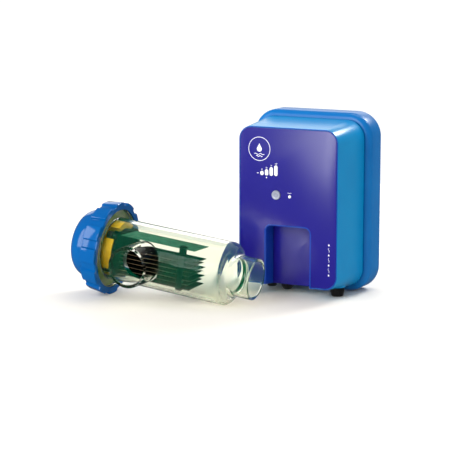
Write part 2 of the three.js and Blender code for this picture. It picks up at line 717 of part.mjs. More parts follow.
function electrodePlate(index, grow = 0) {
  return plate(LOWEST_PLATE + index * PLATE_PITCH, PLATE_ENDS[index % 2], grow);
}

function sensorPlate(grow = 0) {
  return plate(SENSOR_PLATE_HEIGHT, PLATE_ENDS[0] + 2, grow);
}

// A strip along one side of the plates, slotted for each, that keeps them apart near their ends.
function plateComb() {
  const [start, end] = COMB_SPAN;
  const side = PLATE_WIDTH / 2 + COMB_BACK;
  const low = LOWEST_PLATE - 3.2;
  const high = SENSOR_PLATE_HEIGHT + 3;
  let comb = block([start, -side, low], [end, -side + COMB_WIDTH, high]).subtract(sensorPlate(GAP));
  for (let index = 0; index < PLATE_COUNT; index++) comb = comb.subtract(electrodePlate(index, GAP));
  return comb;
}

function buildCell() {
  addPart(cell, 'cell_housing', cellHousing(), finishes.clear);
  addPart(cell, 'union_nut', unionNut(), finishes.nutBlue);
  addPart(cell, 'head_cover', headCover(), finishes.nutBlue);
  addPart(cell, 'head_gland', headGland(), finishes.black);
  addPart(cell, 'head_gland_seal', headGlandSeal(), finishes.rubber);
  addPart(cell, 'electrode_head', electrodeHead(), finishes.yellow);
  addPart(cell, 'head_seal', headSeal(), finishes.rubber);
  for (let index = 0; index < 4; index++) {
    addPart(cell, `head_screw_${index + 1}`, headScrew(index), finishes.steel);
    addPart(cell, `terminal_boot_${index + 1}`, terminalBoot(index), finishes.rubber);
  }
  addPart(cell, 'plate_carrier', plateCarrier(), finishes.black);
  for (let index = 0; index < PLATE_COUNT; index++) {
    addPart(cell, `electrode_plate_${index + 1}`, electrodePlate(index), finishes.coatedTitanium);
  }
  addPart(cell, 'sensor_plate', sensorPlate(), finishes.coatedTitanium);
  addPart(cell, 'plate_comb', plateComb(), finishes.black);
}

// ---- The whole ----------------------------------------------------------------------------

buildUnit();
buildCell();
const tilted = new THREE.Group();
tilted.rotation.y = CELL_TILT;
tilted.add(cell);
const placed = new THREE.Group();
placed.rotation.z = degrees(CELL_YAW);
placed.position.set(CELL_RIM_X, CELL_RIM_Y, CELL_RIM_Z);
placed.add(tilted);
const group = new THREE.Group();
group.add(unit, placed);

// The origin goes to the middle of the bottom of everything.
const bounds = new THREE.Box3().setFromObject(group, true);
const middle = bounds.getCenter(new THREE.Vector3());
group.position.set(-middle.x, -middle.y, 0);
export default group;
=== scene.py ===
"""A pool salt chlorinator: a wall-mounting control unit, and its clear electrolysis cell lying before it.

Everything is worked out in millimetres in one of two frames and placed in metres by a matrix:
- the unit's frame: x from its middle, y back from its front face, z up from the front face's lower edge
- the cell's frame: x is t along its axis from the nut's rim, -y is where the side port points, z is up
"""

import json
from math import cos, hypot, pi, radians, sin

import bmesh
import bpy
from mathutils import Matrix, Vector


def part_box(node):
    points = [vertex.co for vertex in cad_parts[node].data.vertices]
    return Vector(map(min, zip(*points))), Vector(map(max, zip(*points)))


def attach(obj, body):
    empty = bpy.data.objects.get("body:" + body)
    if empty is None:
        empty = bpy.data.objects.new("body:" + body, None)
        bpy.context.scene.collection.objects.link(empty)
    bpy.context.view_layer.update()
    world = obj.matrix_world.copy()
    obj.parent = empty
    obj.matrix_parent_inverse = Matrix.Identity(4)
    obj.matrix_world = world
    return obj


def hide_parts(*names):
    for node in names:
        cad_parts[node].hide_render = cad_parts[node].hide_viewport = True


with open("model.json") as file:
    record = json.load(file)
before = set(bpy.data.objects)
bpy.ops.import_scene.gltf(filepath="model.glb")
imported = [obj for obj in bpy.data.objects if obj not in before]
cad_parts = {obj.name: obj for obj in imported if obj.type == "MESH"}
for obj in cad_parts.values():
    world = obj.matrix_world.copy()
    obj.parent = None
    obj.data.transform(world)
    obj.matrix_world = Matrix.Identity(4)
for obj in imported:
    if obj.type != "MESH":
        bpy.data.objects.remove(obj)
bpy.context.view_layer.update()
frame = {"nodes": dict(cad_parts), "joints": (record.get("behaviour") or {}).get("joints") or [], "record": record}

MM = 0.001
GAP = 0.3  # clearance between neighbouring pieces, in millimetres

# ---- Driving dimensions, in millimetres ----

FRONT_WIDTH = 158
FRONT_HEIGHT = 233
FRONT_RADIUS = 20
FRONT_EDGE = 1.2
COVER_DEPTH = 79
COVER_DRAFT = 7.5  # how much the cover widens from front to back, on each side
SHELL_WALL = 3
TRAY_DEPTH = 42
TRAY_EDGE = 9
TRAY_MARGIN = 9  # how far the tray stands out past the cover
TRAY_STEP = 2.5
PANEL_THICKNESS = 1.3
PANEL_INSET = 1.5
RECESS_WIDTH = 70.5
RECESS_HEIGHT = 88
RECESS_DEPTH = 26
RECESS_RADIUS = 8
RECESS_BORDER = 2.1  # bare rim of the cover between the recess and the front panel
BUTTON_RADIUS = 6.8
LAMP_WIDTH = 5.5
LAMP_PITCH = 7.5
FIRST_LAMP_X = -41.5
LAMP_BOTTOM = 161.7
LAMP_HEIGHTS = (6.3, 9, 12.5, 15.6)
LED_RADIUS = 2.2
BOSS_TOP = 6  # inner end of the pads round the underside's openings

TUBE_RADIUS = 46
TUBE_BORE = 42
TUBE_END = 188
PORT_RADIUS = 30
PORT_BORE = 25.5
END_PORT_RIM = 226
SIDE_PORT_T = 64
SIDE_PORT_REACH = 88  # from the cell's axis to the side port's rim
COLLAR_RADIUS = 58
COLLAR_BACK = -14
COLLAR_FRONT = -1.5
NUT_RADIUS = 69
NUT_LENGTH = 26
NUT_TAPER = 0.955  # size of the nut's back in that of its front
NUT_EDGE = 1.6
NUT_LIP_RADIUS = 54.5
NUT_LOBES = 12
NUT_PAD_SHARE = 0.6  # width of a grip pad in the space of one
NUT_PHASE = 2  # degrees from straight up to the first pad
NUT_LOBE_RISE = 3.6
NUT_STEPS = 40 * NUT_LOBES
FLANGE_FRONT = -16.6
FLANGE_BACK = -21.1
FLANGE_RADIUS = 57
DOME_LENGTH = 37.5
SKIRT_REACH = 12
BOOT_CIRCLE = 34.5
BOOT_RADIUS = 5.2
BOOT_POCKET_RADIUS = 11
POCKET_FLOOR = -3  # t of the face at the bottom of the head's hollow front
HEAD_RADIUS = TUBE_BORE - 0.8
HEAD_RIM = 9  # from the bore to the hollow in the head
SEAL_SPAN = (-16.3, -14.3)
HEAD_GLAND_HOLE = 8.3
HEAD_SCREW_CIRCLE = 18
PLATE_COUNT = 7
PLATE_PITCH = 6.3
PLATE_WIDTH = 47
PLATE_THICKNESS = 1
LOWEST_PLATE = -30
PLATE_START = 17.3
PLATE_ENDS = (135, 131.5)  # t of the ends of the long and the short plates
SENSOR_PLATE_END = 137
SENSOR_PLATE_HEIGHT = 26.8
COMB_SPAN = (113, 122)
COMB_WIDTH = 7.5
COMB_BACK = 1.1  # how far the comb stands out past the plates' edges
COMB_BELOW = 3.2
COMB_ABOVE = 3
CARRIER_RADIUS = 40.5
CARRIER_NECK_RADIUS = 28.5

TRAY_BACK = COVER_DEPTH + TRAY_DEPTH
MIDDLE_HEIGHT = FRONT_HEIGHT / 2

# ---- The two frames ----


def joint(name):
    return next(j for j in frame["joints"] if j["name"] == name)


def mount(name):
    return next(m for m in frame["record"]["mounts"] if m["name"] == name)


def unit_matrix():
    low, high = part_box("front_cover")
    origin = Vector(((low.x + high.x) / 2, low.y, low.z + COVER_DRAFT * MM))
    return Matrix.Translation(origin) @ Matrix.Scale(MM, 4)


def cell_matrix():
    nut = joint("nut_turn")
    along = Vector(nut["axis"]).normalized()
    across = -Vector(mount("side_port_rim")["axis"]).normalized()
    up = along.cross(across).normalized()
    turn = Matrix((along, up.cross(along), up)).transposed().to_4x4()
    return Matrix.Translation(Vector(nut["pos_m"])) @ turn @ Matrix.Scale(MM, 4)


UNIT = unit_matrix()
CELL = cell_matrix()
FLOOR_LEVEL = -UNIT.translation.z / MM  # height of the floor in the unit's frame

# ---- Meshes ----


def new_object(name, data):
    created = bpy.data.objects.new(name, data)
    bpy.context.scene.collection.objects.link(created)
    return created


def finished(name, mesh, place, material, sharp=32):
    """An object from a mesh in millimetres, put in place, with smooth shading up to a sharp edge."""
    mesh.transform(place)
    mesh.validate()
    mesh.polygons.foreach_set("use_smooth", [True] * len(mesh.polygons))
    mesh.set_sharp_from_angle(angle=radians(sharp))
    mesh.update()
    piece = new_object(name, mesh)
    mesh.materials.clear()
    mesh.materials.append(material)
    return piece


def mesh_of(vertices, faces, outward=True):
    mesh = bpy.data.meshes.new("shape")
    mesh.from_pydata([tuple(v) for v in vertices], [], faces)
    if outward:
        work = bmesh.new()
        work.from_mesh(mesh)
        bmesh.ops.remove_doubles(work, verts=work.verts, dist=1e-5)
        bmesh.ops.recalc_face_normals(work, faces=work.faces)
        work.to_mesh(mesh)
        work.free()
    return mesh


def mesh_from(work):
    mesh = bpy.data.meshes.new("shape")
    work.to_mesh(mesh)
    work.free()
    return mesh


def joined(meshes):
    """One mesh that holds several."""
    work = bmesh.new()
    for mesh in meshes:
        work.from_mesh(mesh)
    return mesh_from(work)


def moved(mesh, matrix):
    copy = mesh.copy()
    copy.transform(matrix)
    return copy


def combined(base, cutters, operation="DIFFERENCE"):
    """The base mesh with other meshes cut from it or joined to it."""
    body = new_object("base", base)
    helpers = []
    for cutter in cutters:
        helper = new_object("cutter", cutter)
        modifier = body.modifiers.new("cut", "BOOLEAN")
        modifier.operation = operation
        modifier.solver = "EXACT"
        modifier.object = helper
        helpers.append(helper)
    bpy.context.view_layer.update()
    graph = bpy.context.evaluated_depsgraph_get()
    mesh = bpy.data.meshes.new_from_object(body.evaluated_get(graph))
    for helper in [body, *helpers]:
        bpy.data.objects.remove(helper)
    return mesh


def rings_mesh(rings, closed=False):
    """A skin over rings with the same number of points, capped at both ends unless it closes on itself."""
    count = len(rings[0])
    vertices = [point for ring in rings for point in ring]
    faces = []
    for ring in range(len(rings) if closed else len(rings) - 1):
        near = ring * count
        far = ((ring + 1) % len(rings)) * count
        for i in range(count):
            following = (i + 1) % count
            faces.append((near + i, near + following, far + following, far + i))
    if not closed:
        faces.append(tuple(range(count)))
        faces.append(tuple(reversed(range((len(rings) - 1) * count, len(rings) * count))))
    return mesh_of(vertices, faces)


def rounded_corners(points, radii, steps=4, closed=False):
    """A line of [along, radius] points with each inner corner turned into an arc-like curve."""
    if not hasattr(radii, "__len__"):
        radii = [radii] * len(points)
    result = []
    count = len(points)
    for i, point in enumerate(points):
        here = Vector(point)
        before = Vector(points[i - 1]) - here
        after = Vector(points[(i + 1) % count]) - here
        reach = min(radii[i], before.length * 0.49, after.length * 0.49)
        at_end = not closed and i in (0, count - 1)
        if at_end or reach < 0.02:
            result.append(tuple(here))
            continue
        start = here + before.normalized() * reach
        end = here + after.normalized() * reach
        for step in range(steps + 1):
            s = step / steps
            blend = (1 - s) ** 2 * start + 2 * s * (1 - s) * here + s**2 * end
            result.append(tuple(blend))
    return result


def turned(profile, steps=96, closed=False, edge=0.0, edge_steps=3):
    """A solid turned about the x axis from (t, radius) points. An open profile has its ends on the axis."""
    points = rounded_corners(profile, edge, edge_steps, closed) if edge else profile
    vertices = []
    rows = []
    for t, radius in points:
        if radius < 1e-6:
            rows.append([len(vertices)])
            vertices.append((t, 0, 0))
            continue
        row = []
        for step in range(steps):
            angle = 2 * pi * step / steps
            row.append(len(vertices))
            vertices.append((t, radius * cos(angle), radius * sin(angle)))
        rows.append(row)
    faces = []
    for i in range(len(rows) if closed else len(rows) - 1):
        low = rows[i]
        high = rows[(i + 1) % len(rows)]
        for step in range(steps):
            following = (step + 1) % steps
            corners = [low[step % len(low)], low[following % len(low)]]
            corners += [high[following % len(high)], high[step % len(high)]]
            unique = tuple(dict.fromkeys(corners))
            if len(unique) > 2:
                faces.append(unique)
    return mesh_of(vertices, faces)


TO_Y = Matrix.Rotation(pi / 2, 4, "Z")  # turns a solid about x into one about y
TO_Z = Matrix.Rotation(-pi / 2, 4, "Y")  # turns a solid about x into one about z
TO_SIDE = Matrix.Rotation(-pi / 2, 4, "Z")  # turns a solid about x into one about -y


def at(x, y, z):
    return Matrix.Translation((x, y, z))


def around(radius, angle):
    """A shift to a place on a circle about the x axis."""
    return at(0, radius * cos(angle), radius * sin(angle))


def facing(mesh, x, z):
    """A solid about x, turned to run back along y, at a place on the front."""
    return moved(mesh, at(x, 0, z) @ TO_Y)


def upright(mesh, x, y, z=0):
    """A solid about x, turned to stand up along z."""
    return moved(mesh, at(x, y, z) @ TO_Z)


def rod(radius, start, end, steps=48, edge=0.4):
    return turned([(start, 0), (start, radius), (end, radius), (end, 0)], steps, edge=edge)


def ring_outline(width, height, radius, grow, steps=14):
    """Points round a rounded rectangle in the xz plane, grown by an offset."""
    corner = max(radius + grow, 0.4)
    across = width / 2 + grow - corner
    up = height / 2 + grow - corner
    points = []
    for quarter in range(4):
        sign_x = 1 if quarter in (0, 3) else -1
        sign_z = 1 if quarter < 2 else -1
        for step in range(steps + 1):
            angle = (quarter + step / steps) * pi / 2
            points.append((sign_x * across + corner * cos(angle), sign_z * up + corner * sin(angle)))
    return points


def loft(size, sections, middle=(0, MIDDLE_HEIGHT), steps=14):
    """A rounded rectangle (width, height, radius) lofted along y: each section is (y, grow)."""
    rings = []
    for y, grow in sections:
        outline = ring_outline(*size, grow, steps)
        rings.append([(middle[0] + x, y, middle[1] + z) for x, z in outline])
    return rings_mesh(rings)


def round_edge(y, radius, grow=0.0, steps=6):
    """Sections that round an edge over a quarter circle, from a flat face at y to the side."""
    sections = []
    for step in range(steps + 1):
        angle = step / steps * pi / 2
        sections.append((y + radius * (1 - cos(angle)), grow - radius * (1 - sin(angle))))
    return sections


CUT_PAST = 3  # how far a cutter reaches past the face that it opens


def flare(y, radius, depth, grow=0.0, steps=4):
    """Sections of a cutter that leaves a rounded edge of that radius round its mouth at y."""
    sections = [(y - CUT_PAST, grow + radius), (y, grow + radius)]
    for step in range(1, steps + 1):
        angle = step / steps * pi / 2
        sections.append((y + radius * sin(angle), grow + radius * cos(angle)))
    return sections + [(depth, grow)]


def slab(low, high, edge=0.5):
    """A box with softened edges."""
    work = bmesh.new()
    size = Vector(high) - Vector(low)
    middle = (Vector(high) + Vector(low)) / 2
    matrix = Matrix.Translation(middle) @ Matrix.Diagonal((*size, 1))
    bmesh.ops.create_cube(work, size=1, matrix=matrix)
    if edge:
        bmesh.ops.bevel(work, geom=list(work.edges), offset=edge, segments=3, profile=0.5, affect="EDGES")
    return mesh_from(work)


# ---- Materials ----


def linear(red, green, blue):
    """A colour from 0-255 screen values as the linear values that a shader takes."""
    result = []
    for value in (red, green, blue):
        share = value / 255
        result.append(share / 12.92 if share <= 0.04045 else ((share + 0.055) / 1.055) ** 2.4)
    return (*result, 1)


def put(node, name, value):
    node.inputs[name].default_value = value


class Nodes:
    """A new material's node tree, with short calls that add and link nodes."""

    def __init__(self, name):
        self.material = bpy.data.materials.new(name)
        self.material.use_nodes = True
        self.tree = self.material.node_tree
        self.shader = self.tree.nodes["Principled BSDF"]
        self.output = self.tree.nodes["Material Output"]

    def add(self, kind, **settings):
        node = self.tree.nodes.new("ShaderNode" + kind)
        for key, value in settings.items():
            setattr(node, key, value)
        return node

    def link(self, source, target):
        self.tree.links.new(source, target)

    def feed(self, name, source):
        self.link(source, self.shader.inputs[name])

    def place(self):
        return self.add("TexCoord").outputs["Object"]

    def mix_shaders(self, first, second):
        """A node that mixes two shaders by its Fac."""
        mixed = self.add("MixShader")
        self.link(first.outputs[0], mixed.inputs[1])
        self.link(second.outputs[0], mixed.inputs[2])
        return mixed

    def noise(self, scale, detail=3.0, roughness=0.5):
        texture = self.add("TexNoise")
        put(texture, "Scale", scale)
        put(texture, "Detail", detail)
        put(texture, "Roughness", roughness)
        self.link(self.place(), texture.inputs["Vector"])
        return texture.outputs["Fac"]

    def spread(self, value, low, high):
        remap = self.add("MapRange", interpolation_type="SMOOTHSTEP")
        put(remap, "From Min", 0.3)
        put(remap, "From Max", 0.7)
        put(remap, "To Min", low)
        put(remap, "To Max", high)
        self.link(value, remap.inputs["Value"])
        return remap.outputs["Result"]

    def mix(self, factor, first, second):
        blend = self.add("Mix", data_type="RGBA")
        put(blend, "A", first)
        put(blend, "B", second)
        self.link(factor, blend.inputs["Factor"])
        return blend.outputs["Result"]

    def bump(self, height, strength, distance):
        node = self.add("Bump")
        put(node, "Strength", strength)
        put(node, "Distance", distance)
        self.link(height, node.inputs["Height"])
        self.feed("Normal", node.outputs["Normal"])


def plastic(name, colour, other, roughness, grain=900.0, bump=0.05, shine=0.5, metal=0.0):
    """Moulded plastic: a fine grain in the surface, slow drifts in colour and barely uneven gloss."""
    nodes = Nodes(name)
    drift = nodes.spread(nodes.noise(22.0, 2.0), 0.0, 1.0)
    nodes.feed("Base Color", nodes.mix(drift, colour, other))
    nodes.feed("Roughness", nodes.spread(nodes.noise(grain * 0.1, 2.0), roughness * 0.99, roughness * 1.01))
    nodes.bump(nodes.noise(grain, 2.0), bump, 0.0001)
    put(nodes.shader, "Specular IOR Level", shine)
    put(nodes.shader, "Metallic", metal)
    return nodes.material


CLEAR_SHEEN = (0.2, 0.2, 0.2, 1.0)  # holds back the lamps' mirror images on clear walls
HAZE_GREEN = linear(0, 190, 140)
LAMPLIGHT_THROUGH = linear(222, 218, 206)  # what one clear wall lets through of a lamp's light


def clear_plastic(name, tint, haze_share, bend):
    """Clear moulded plastic, with or without a green haze, which lets lamps through to what is inside."""
    nodes = Nodes(name)
    shader = nodes.shader
    put(shader, "Base Color", tint)
    put(shader, "Roughness", 0.0)
    put(shader, "Transmission Weight", 1.0)
    put(shader, "IOR", bend)
    put(shader, "Specular Tint", CLEAR_SHEEN)
    nodes.bump(nodes.noise(30.0, 2.0), 0.08, 0.0006)
    haze = nodes.add("BsdfDiffuse")
    put(haze, "Color", HAZE_GREEN)
    hazy = nodes.mix_shaders(shader, haze)
    put(hazy, "Fac", haze_share)
    through = nodes.add("BsdfTransparent")
    put(through, "Color", LAMPLIGHT_THROUGH)
    lamps = nodes.mix_shaders(hazy, through)
    nodes.link(nodes.add("LightPath").outputs["Is Shadow Ray"], lamps.inputs["Fac"])
    nodes.link(lamps.outputs["Shader"], nodes.output.inputs["Surface"])
    return nodes.material


def coated_metal(name, colour, other, roughness):
    """Plates with a dark sintered coating: mottled, with a fine rough grain."""
    nodes = Nodes(name)
    patches = nodes.spread(nodes.noise(160.0, 5.0, 0.65), 0.0, 1.0)
    nodes.feed("Base Color", nodes.mix(patches, colour, other))
    nodes.feed("Roughness", nodes.spread(patches, roughness, roughness + 0.16))
    nodes.bump(nodes.noise(2600.0, 3.0), 0.25, 0.0001)
    put(nodes.shader, "Specular IOR Level", 0.0)
    return nodes.material


def brushed_metal(name, colour, roughness):
    """Bare metal with fine streaks along x."""
    nodes = Nodes(name)
    stretch = nodes.add("Mapping")
    put(stretch, "Scale", (60.0, 900.0, 900.0))
    texture = nodes.add("TexNoise")
    put(texture, "Scale", 1.0)
    put(texture, "Detail", 3.0)
    nodes.link(nodes.place(), stretch.inputs["Vector"])
    nodes.link(stretch.outputs["Vector"], texture.inputs["Vector"])
    streaks = texture.outputs["Fac"]
    darker = tuple(channel * 0.8 for channel in colour[:3]) + (1,)
    nodes.feed("Base Color", nodes.mix(streaks, colour, darker))
    nodes.feed("Roughness", nodes.spread(streaks, roughness, roughness + 0.12))
    nodes.bump(streaks, 0.1, 0.0001)
    put(nodes.shader, "Metallic", 1.0)
    return nodes.material


def winding():
    """Yellow tape over a wound ring: bands with darker laps between them."""
    nodes = Nodes("winding")
    wave = nodes.add("TexWave", wave_type="RINGS")
    put(wave, "Scale", 60.0)
    put(wave, "Distortion", 1.5)
    nodes.link(nodes.place(), wave.inputs["Vector"])
    nodes.feed("Base Color", nodes.mix(wave.outputs["Fac"], linear(214, 164, 52), linear(150, 100, 26)))
    nodes.bump(wave.outputs["Fac"], 0.3, 0.0004)
    put(nodes.shader, "Roughness", 0.45)
    return nodes.material


def floor_material():
    """Matt warm white."""
    nodes = Nodes("studio_floor")
    tone = nodes.spread(nodes.noise(3.0, 2.0), 0.0, 1.0)
    nodes.feed("Base Color", nodes.mix(tone, linear(247, 243, 236), linear(246, 242, 235)))
    put(nodes.shader, "Roughness", 0.6)
    put(nodes.shader, "Specular IOR Level", 0.1)
    return nodes.material


COVER_BLUE = plastic("cover_blue", linear(0, 140, 200), linear(0, 136, 197), 0.26, bump=0.03, shine=0.4)
TRAY_BLUE = plastic("tray_blue", linear(0, 112, 184), linear(0, 107, 180), 0.3, bump=0.03, shine=0.3)
NUT_BLUE = plastic("nut_blue", linear(0, 88, 156), linear(0, 84, 152), 0.1, bump=0.02)
PANEL_PURPLE = plastic("panel_purple", linear(24, 18, 126), linear(24, 18, 124), 0.21, 500.0, 0.0, 0.55)
# painted shade: a darker blue than the cover's, for its thin front rims and the walls of its recess
RIM_SHADE_BLUE = plastic("rim_shade_blue", linear(14, 66, 176), linear(12, 60, 170), 0.25)
CLEAR = clear_plastic("clear_plastic", linear(253, 254, 247), 0.0, 1.07)
CLEAR_GREEN = clear_plastic("clear_green_plastic", linear(250, 249, 240), 0.03, 1.36)
OLIVE = plastic("olive_rubber", linear(108, 130, 26), linear(60, 88, 28), 0.5, 160.0, 0.2, 0.1)
LAMP_WHITE = plastic("lamp_white", linear(250, 250, 252), linear(246, 247, 252), 0.35)
PRINT_WHITE = plastic("print_white", linear(244, 244, 252), linear(236, 236, 250), 0.4)
SILVER = plastic("button_silver", linear(148, 153, 172), linear(158, 162, 180), 0.3, metal=0.15)
SYMBOL_GREY = plastic("symbol_grey", linear(120, 126, 146), linear(112, 118, 140), 0.45)
RUBBER = plastic("black_rubber", linear(22, 22, 24), linear(30, 30, 32), 0.6, 1400.0, 0.2)
BLACK = plastic("black_plastic", linear(12, 12, 14), linear(18, 18, 20), 0.28, 700.0, 0.08)
DULL_BLACK = plastic("dull_black_plastic", linear(2, 5, 4), linear(4, 8, 7), 0.6, 700.0, 0.1, 0.0)
YELLOW = plastic("yellow_plastic", linear(196, 158, 0), linear(180, 140, 0), 0.5, 600.0, 0.1, 0.1)
PLATE = coated_metal("coated_titanium", linear(2, 5, 4), linear(5, 9, 7), 0.7)
PLATE_LIGHT = coated_metal("sensor_titanium", linear(34, 78, 66), linear(64, 108, 92), 0.6)
# painted highlight: a lighter brown for the plates' narrow edges, for the light that they catch
PLATE_EDGE_HIGHLIGHT = coated_metal("painted_edge_highlight", linear(78, 66, 52), linear(60, 52, 40), 0.6)
BOARD = plastic("circuit_board", linear(24, 96, 54), linear(18, 84, 46), 0.4, 300.0, 0.1)
ALUMINIUM = brushed_metal("aluminium", linear(198, 202, 206), 0.35)
STEEL = brushed_metal("steel", linear(178, 182, 186), 0.3)
WINDING = winding()
FUSE_GLASS = plastic("fuse_glass", linear(226, 232, 230), linear(214, 222, 220), 0.1)

# ---- The camera, the floor and the lights ----

CAMERA_AZIMUTH = 27.35
CAMERA_ELEVATION = 9.756
CAMERA_DISTANCE = 2600
CAMERA_LENS = 140.44
CAMERA_TARGET = (-102.08, 0, 83.16)  # in the unit's frame
FLOOR_REACH = 1.15  # metres from the middle to each side
WHITE_SHOWN = 1.08  # strength of the surroundings as seen by the eye and through glass
WHITE_MIRRORED = 0.12  # the same in reflections
WHITE_LIGHTING = 0.6  # the same as a light


def add_camera():
    azimuth = radians(CAMERA_AZIMUTH)
    elevation = radians(CAMERA_ELEVATION)
    back = Vector((sin(azimuth) * cos(elevation), -cos(azimuth) * cos(elevation), sin(elevation)))
    data = bpy.data.cameras.new("camera")
    data.lens = CAMERA_LENS
    data.sensor_width = 36
    data.clip_start = 0.05
    data.clip_end = 60
    camera = new_object("camera", data)
    camera.location = UNIT @ Vector(CAMERA_TARGET) + back * CAMERA_DISTANCE * MM
    camera.rotation_mode = "QUATERNION"
    camera.rotation_quaternion = (-back).to_track_quat("-Z", "Y")
    bpy.context.scene.camera = camera


def add_floor():
    corners = [(x * FLOOR_REACH, y * FLOOR_REACH, 0) for x, y in ((-1, -1), (1, -1), (1, 1), (-1, 1))]
    mesh = mesh_of(corners, [(0, 1, 2, 3)], False)
    mesh.materials.append(floor_material())
    floor = new_object("floor", mesh)
    floor.visible_glossy = False


def add_softbox(name, position, target, width, height, power):
    data = bpy.data.lights.new(name, "AREA")
    data.shape = "RECTANGLE"
    data.size = width
    data.size_y = height
    data.energy = power
    lamp = new_object(name, data)
    lamp.location = position
    lamp.rotation_mode = "QUATERNION"
    lamp.rotation_quaternion = (Vector(target) - Vector(position)).to_track_quat("-Z", "Y")
    lamp.visible_camera = False


def add_world():
    """White surroundings: shown to the eye and through glass, dimmer in reflections and as a light."""
    world = bpy.data.worlds.new("studio")
    world.use_nodes = True
    tree = world.node_tree
    output = tree.nodes["World Output"]
    path = tree.nodes.new("ShaderNodeLightPath")
    shades = []
    for strength in (WHITE_LIGHTING, WHITE_MIRRORED, WHITE_SHOWN, WHITE_SHOWN):
        shade = tree.nodes.new("ShaderNodeBackground")
        put(shade, "Color", (1, 1, 1, 1))
        put(shade, "Strength", strength)
        shades.append(shade)
    mixed = shades[0].outputs[0]
    for ray, shade in zip(("Is Glossy Ray", "Is Transmission Ray", "Is Camera Ray"), shades[1:]):
        blend = tree.nodes.new("ShaderNodeMixShader")
        tree.links.new(path.outputs[ray], blend.inputs["Fac"])
        tree.links.new(mixed, blend.inputs[1])
        tree.links.new(shade.outputs[0], blend.inputs[2])
        mixed = blend.outputs[0]
    tree.links.new(mixed, output.inputs["Surface"])
    bpy.context.scene.world = world


def add_lights():
    add_world()
    middle = (0, 0, 0.12)
    add_softbox("front_softbox", (-0.36, -2.0, 0.8), middle, 0.95, 1.5, 33)
    add_softbox("back_softbox", (-0.91, 1.64, 0.84), middle, 1.7, 0.8, 6)
    add_softbox("rim_softbox", (0.6, 1.55, 1.3), middle, 0.6, 0.5, 22)
    add_softbox("side_softbox", (-1.5, -1.34, 0.8), (-0.15, -0.08, 0.08), 0.72, 1.7, 15)
    add_softbox("top_softbox", (0.1, 0.5, 2.1), middle, 1.2, 1.0, 10)
    bpy.context.scene.view_settings.view_transform = "Standard"
    bpy.context.scene.view_settings.look = "None"


# ---- The control unit ----

FRONT = (FRONT_WIDTH, FRONT_HEIGHT, FRONT_RADIUS)
COVER_REAR_EDGE = ((1, 0.12), (0.3, 0.3), (0, 0.9))  # (from the cover's rear edge, inset)
BUTTON_PLACE = (-18.5, 134)
LED_PLACE = (3.2, 132.8)
UNDERSIDE = {
    "mains_gland": {"place": (-26, 57), "boss": 11, "hole": 6.5, "nut": 9.3, "nose": 6},
    "cell_gland": {"place": (60.5, 45), "boss": 12, "hole": 6.5, "nut": 10.5, "nose": 9},
    "fuse": {"place": (-46.5, 46), "boss": 9, "hole": 5.5},
}
BRACKET_LOW = FLOOR_LEVEL + 186
BRACKET_POCKET = (36, 40)  # half the width, and the height, of the pocket for the wall bracket
BRACKET_DEPTH = 2.3
KEYHOLES = (-24, 24)
SCREW_X = 78
SCREW_INSET = 12
SCREW_POCKET_DEPTH = 1.6
RIB_COUNT = 7
RIB_PITCH = 11
LOWEST_RIB = 60
RIB_HALF_LENGTH = 52
RIB_HEIGHT = 3.2
RIB_DEPTH = 0.9


CELL_BODIES = ("cell", "union_nut", "electrode")


def replace(piece, body, slot, *nodes):
    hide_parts(*nodes)
    add_to(piece, body)


def stand_in(node, name, mesh, material, body, sharp=32, slot=None):
    """A finished piece in the place of a CAD node, which rides on a body."""
    place = CELL if body in CELL_BODIES else UNIT
    slot = slot or material.name.split(".")[0]  # Blender numbers a name that the frame has too
    replace(finished(name, mesh, place, material, sharp), body, slot, node)


def add_to(piece, body):
    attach(piece, body)


def give_faces(piece, faces, material):
    """Gives some faces of a piece a second material."""
    piece.data.materials.append(material)
    for index in faces:
        piece.data.polygons[index].material_index = 1


def cover_grow(y):
    return COVER_DRAFT * max(0, (y - FRONT_EDGE) / (COVER_DEPTH - FRONT_EDGE))


def spot_face(opening):
    """Height of the level face cut into the sloping underside round an opening, in the unit's frame."""
    return -cover_grow(opening["place"][1] - opening["boss"]) - 0.2


def recess_shape(sections):
    """A block through the open bottom of the recess, which follows its rounded top."""
    height = RECESS_HEIGHT + 60
    size = (RECESS_WIDTH, height, RECESS_RADIUS)
    return loft(size, sections, (0, RECESS_HEIGHT - height / 2), 10)


def lamp_shape(index, sections, steps=12):
    height = LAMP_HEIGHTS[index]
    size = (LAMP_WIDTH, height, LAMP_WIDTH / 2 - 0.05)
    middle = (FIRST_LAMP_X + index * LAMP_PITCH, LAMP_BOTTOM + height / 2)
    return loft(size, sections, middle, steps)


def disc(radius, sections, place, steps=64):
    """A round post along y: each section is (y, grow)."""
    side = [(y, radius + grow) for y, grow in sections]
    return facing(turned([(side[0][0], 0), *side, (side[-1][0], 0)], steps), *place)


def front_cutters(edge=0.35):
    sections = flare(0, edge, 10, GAP)
    cutters = [lamp_shape(i, sections) for i in range(len(LAMP_HEIGHTS))]
    cutters.append(disc(BUTTON_RADIUS, sections, BUTTON_PLACE))
    cutters.append(disc(LED_RADIUS, sections, LED_PLACE, 32))
    return cutters


def on_rim(point):
    """True for a point of the cover on the thin rims round the panel and in the recess, which get a painted shade.
    """
    half = RECESS_WIDTH / 2 + RECESS_BORDER
    in_recess = abs(point.x) < half and point.z < RECESS_HEIGHT + RECESS_BORDER and point.z > -4
    return point.y < FRONT_EDGE * 0.4 or (in_recess and point.y < RECESS_DEPTH + 1)


def cover_bosses():
    """Pads inside the cover round the underside's openings."""
    bosses = []
    for opening in UNDERSIDE.values():
        pad = rod(opening["boss"], spot_face(opening) + 0.4, BOSS_TOP, edge=0.5)
        bosses.append(upright(pad, *opening["place"]))
    return bosses


def underside_holes():
    """The openings through the underside, and the level face round each."""
    holes = []
    for opening in UNDERSIDE.values():
        face = spot_face(opening)
        below = face - 20
        holes.append(upright(rod(opening["hole"] + GAP, below, 30), *opening["place"]))
        holes.append(upright(rod(opening["boss"], below, face, 64, 0), *opening["place"]))
    return holes


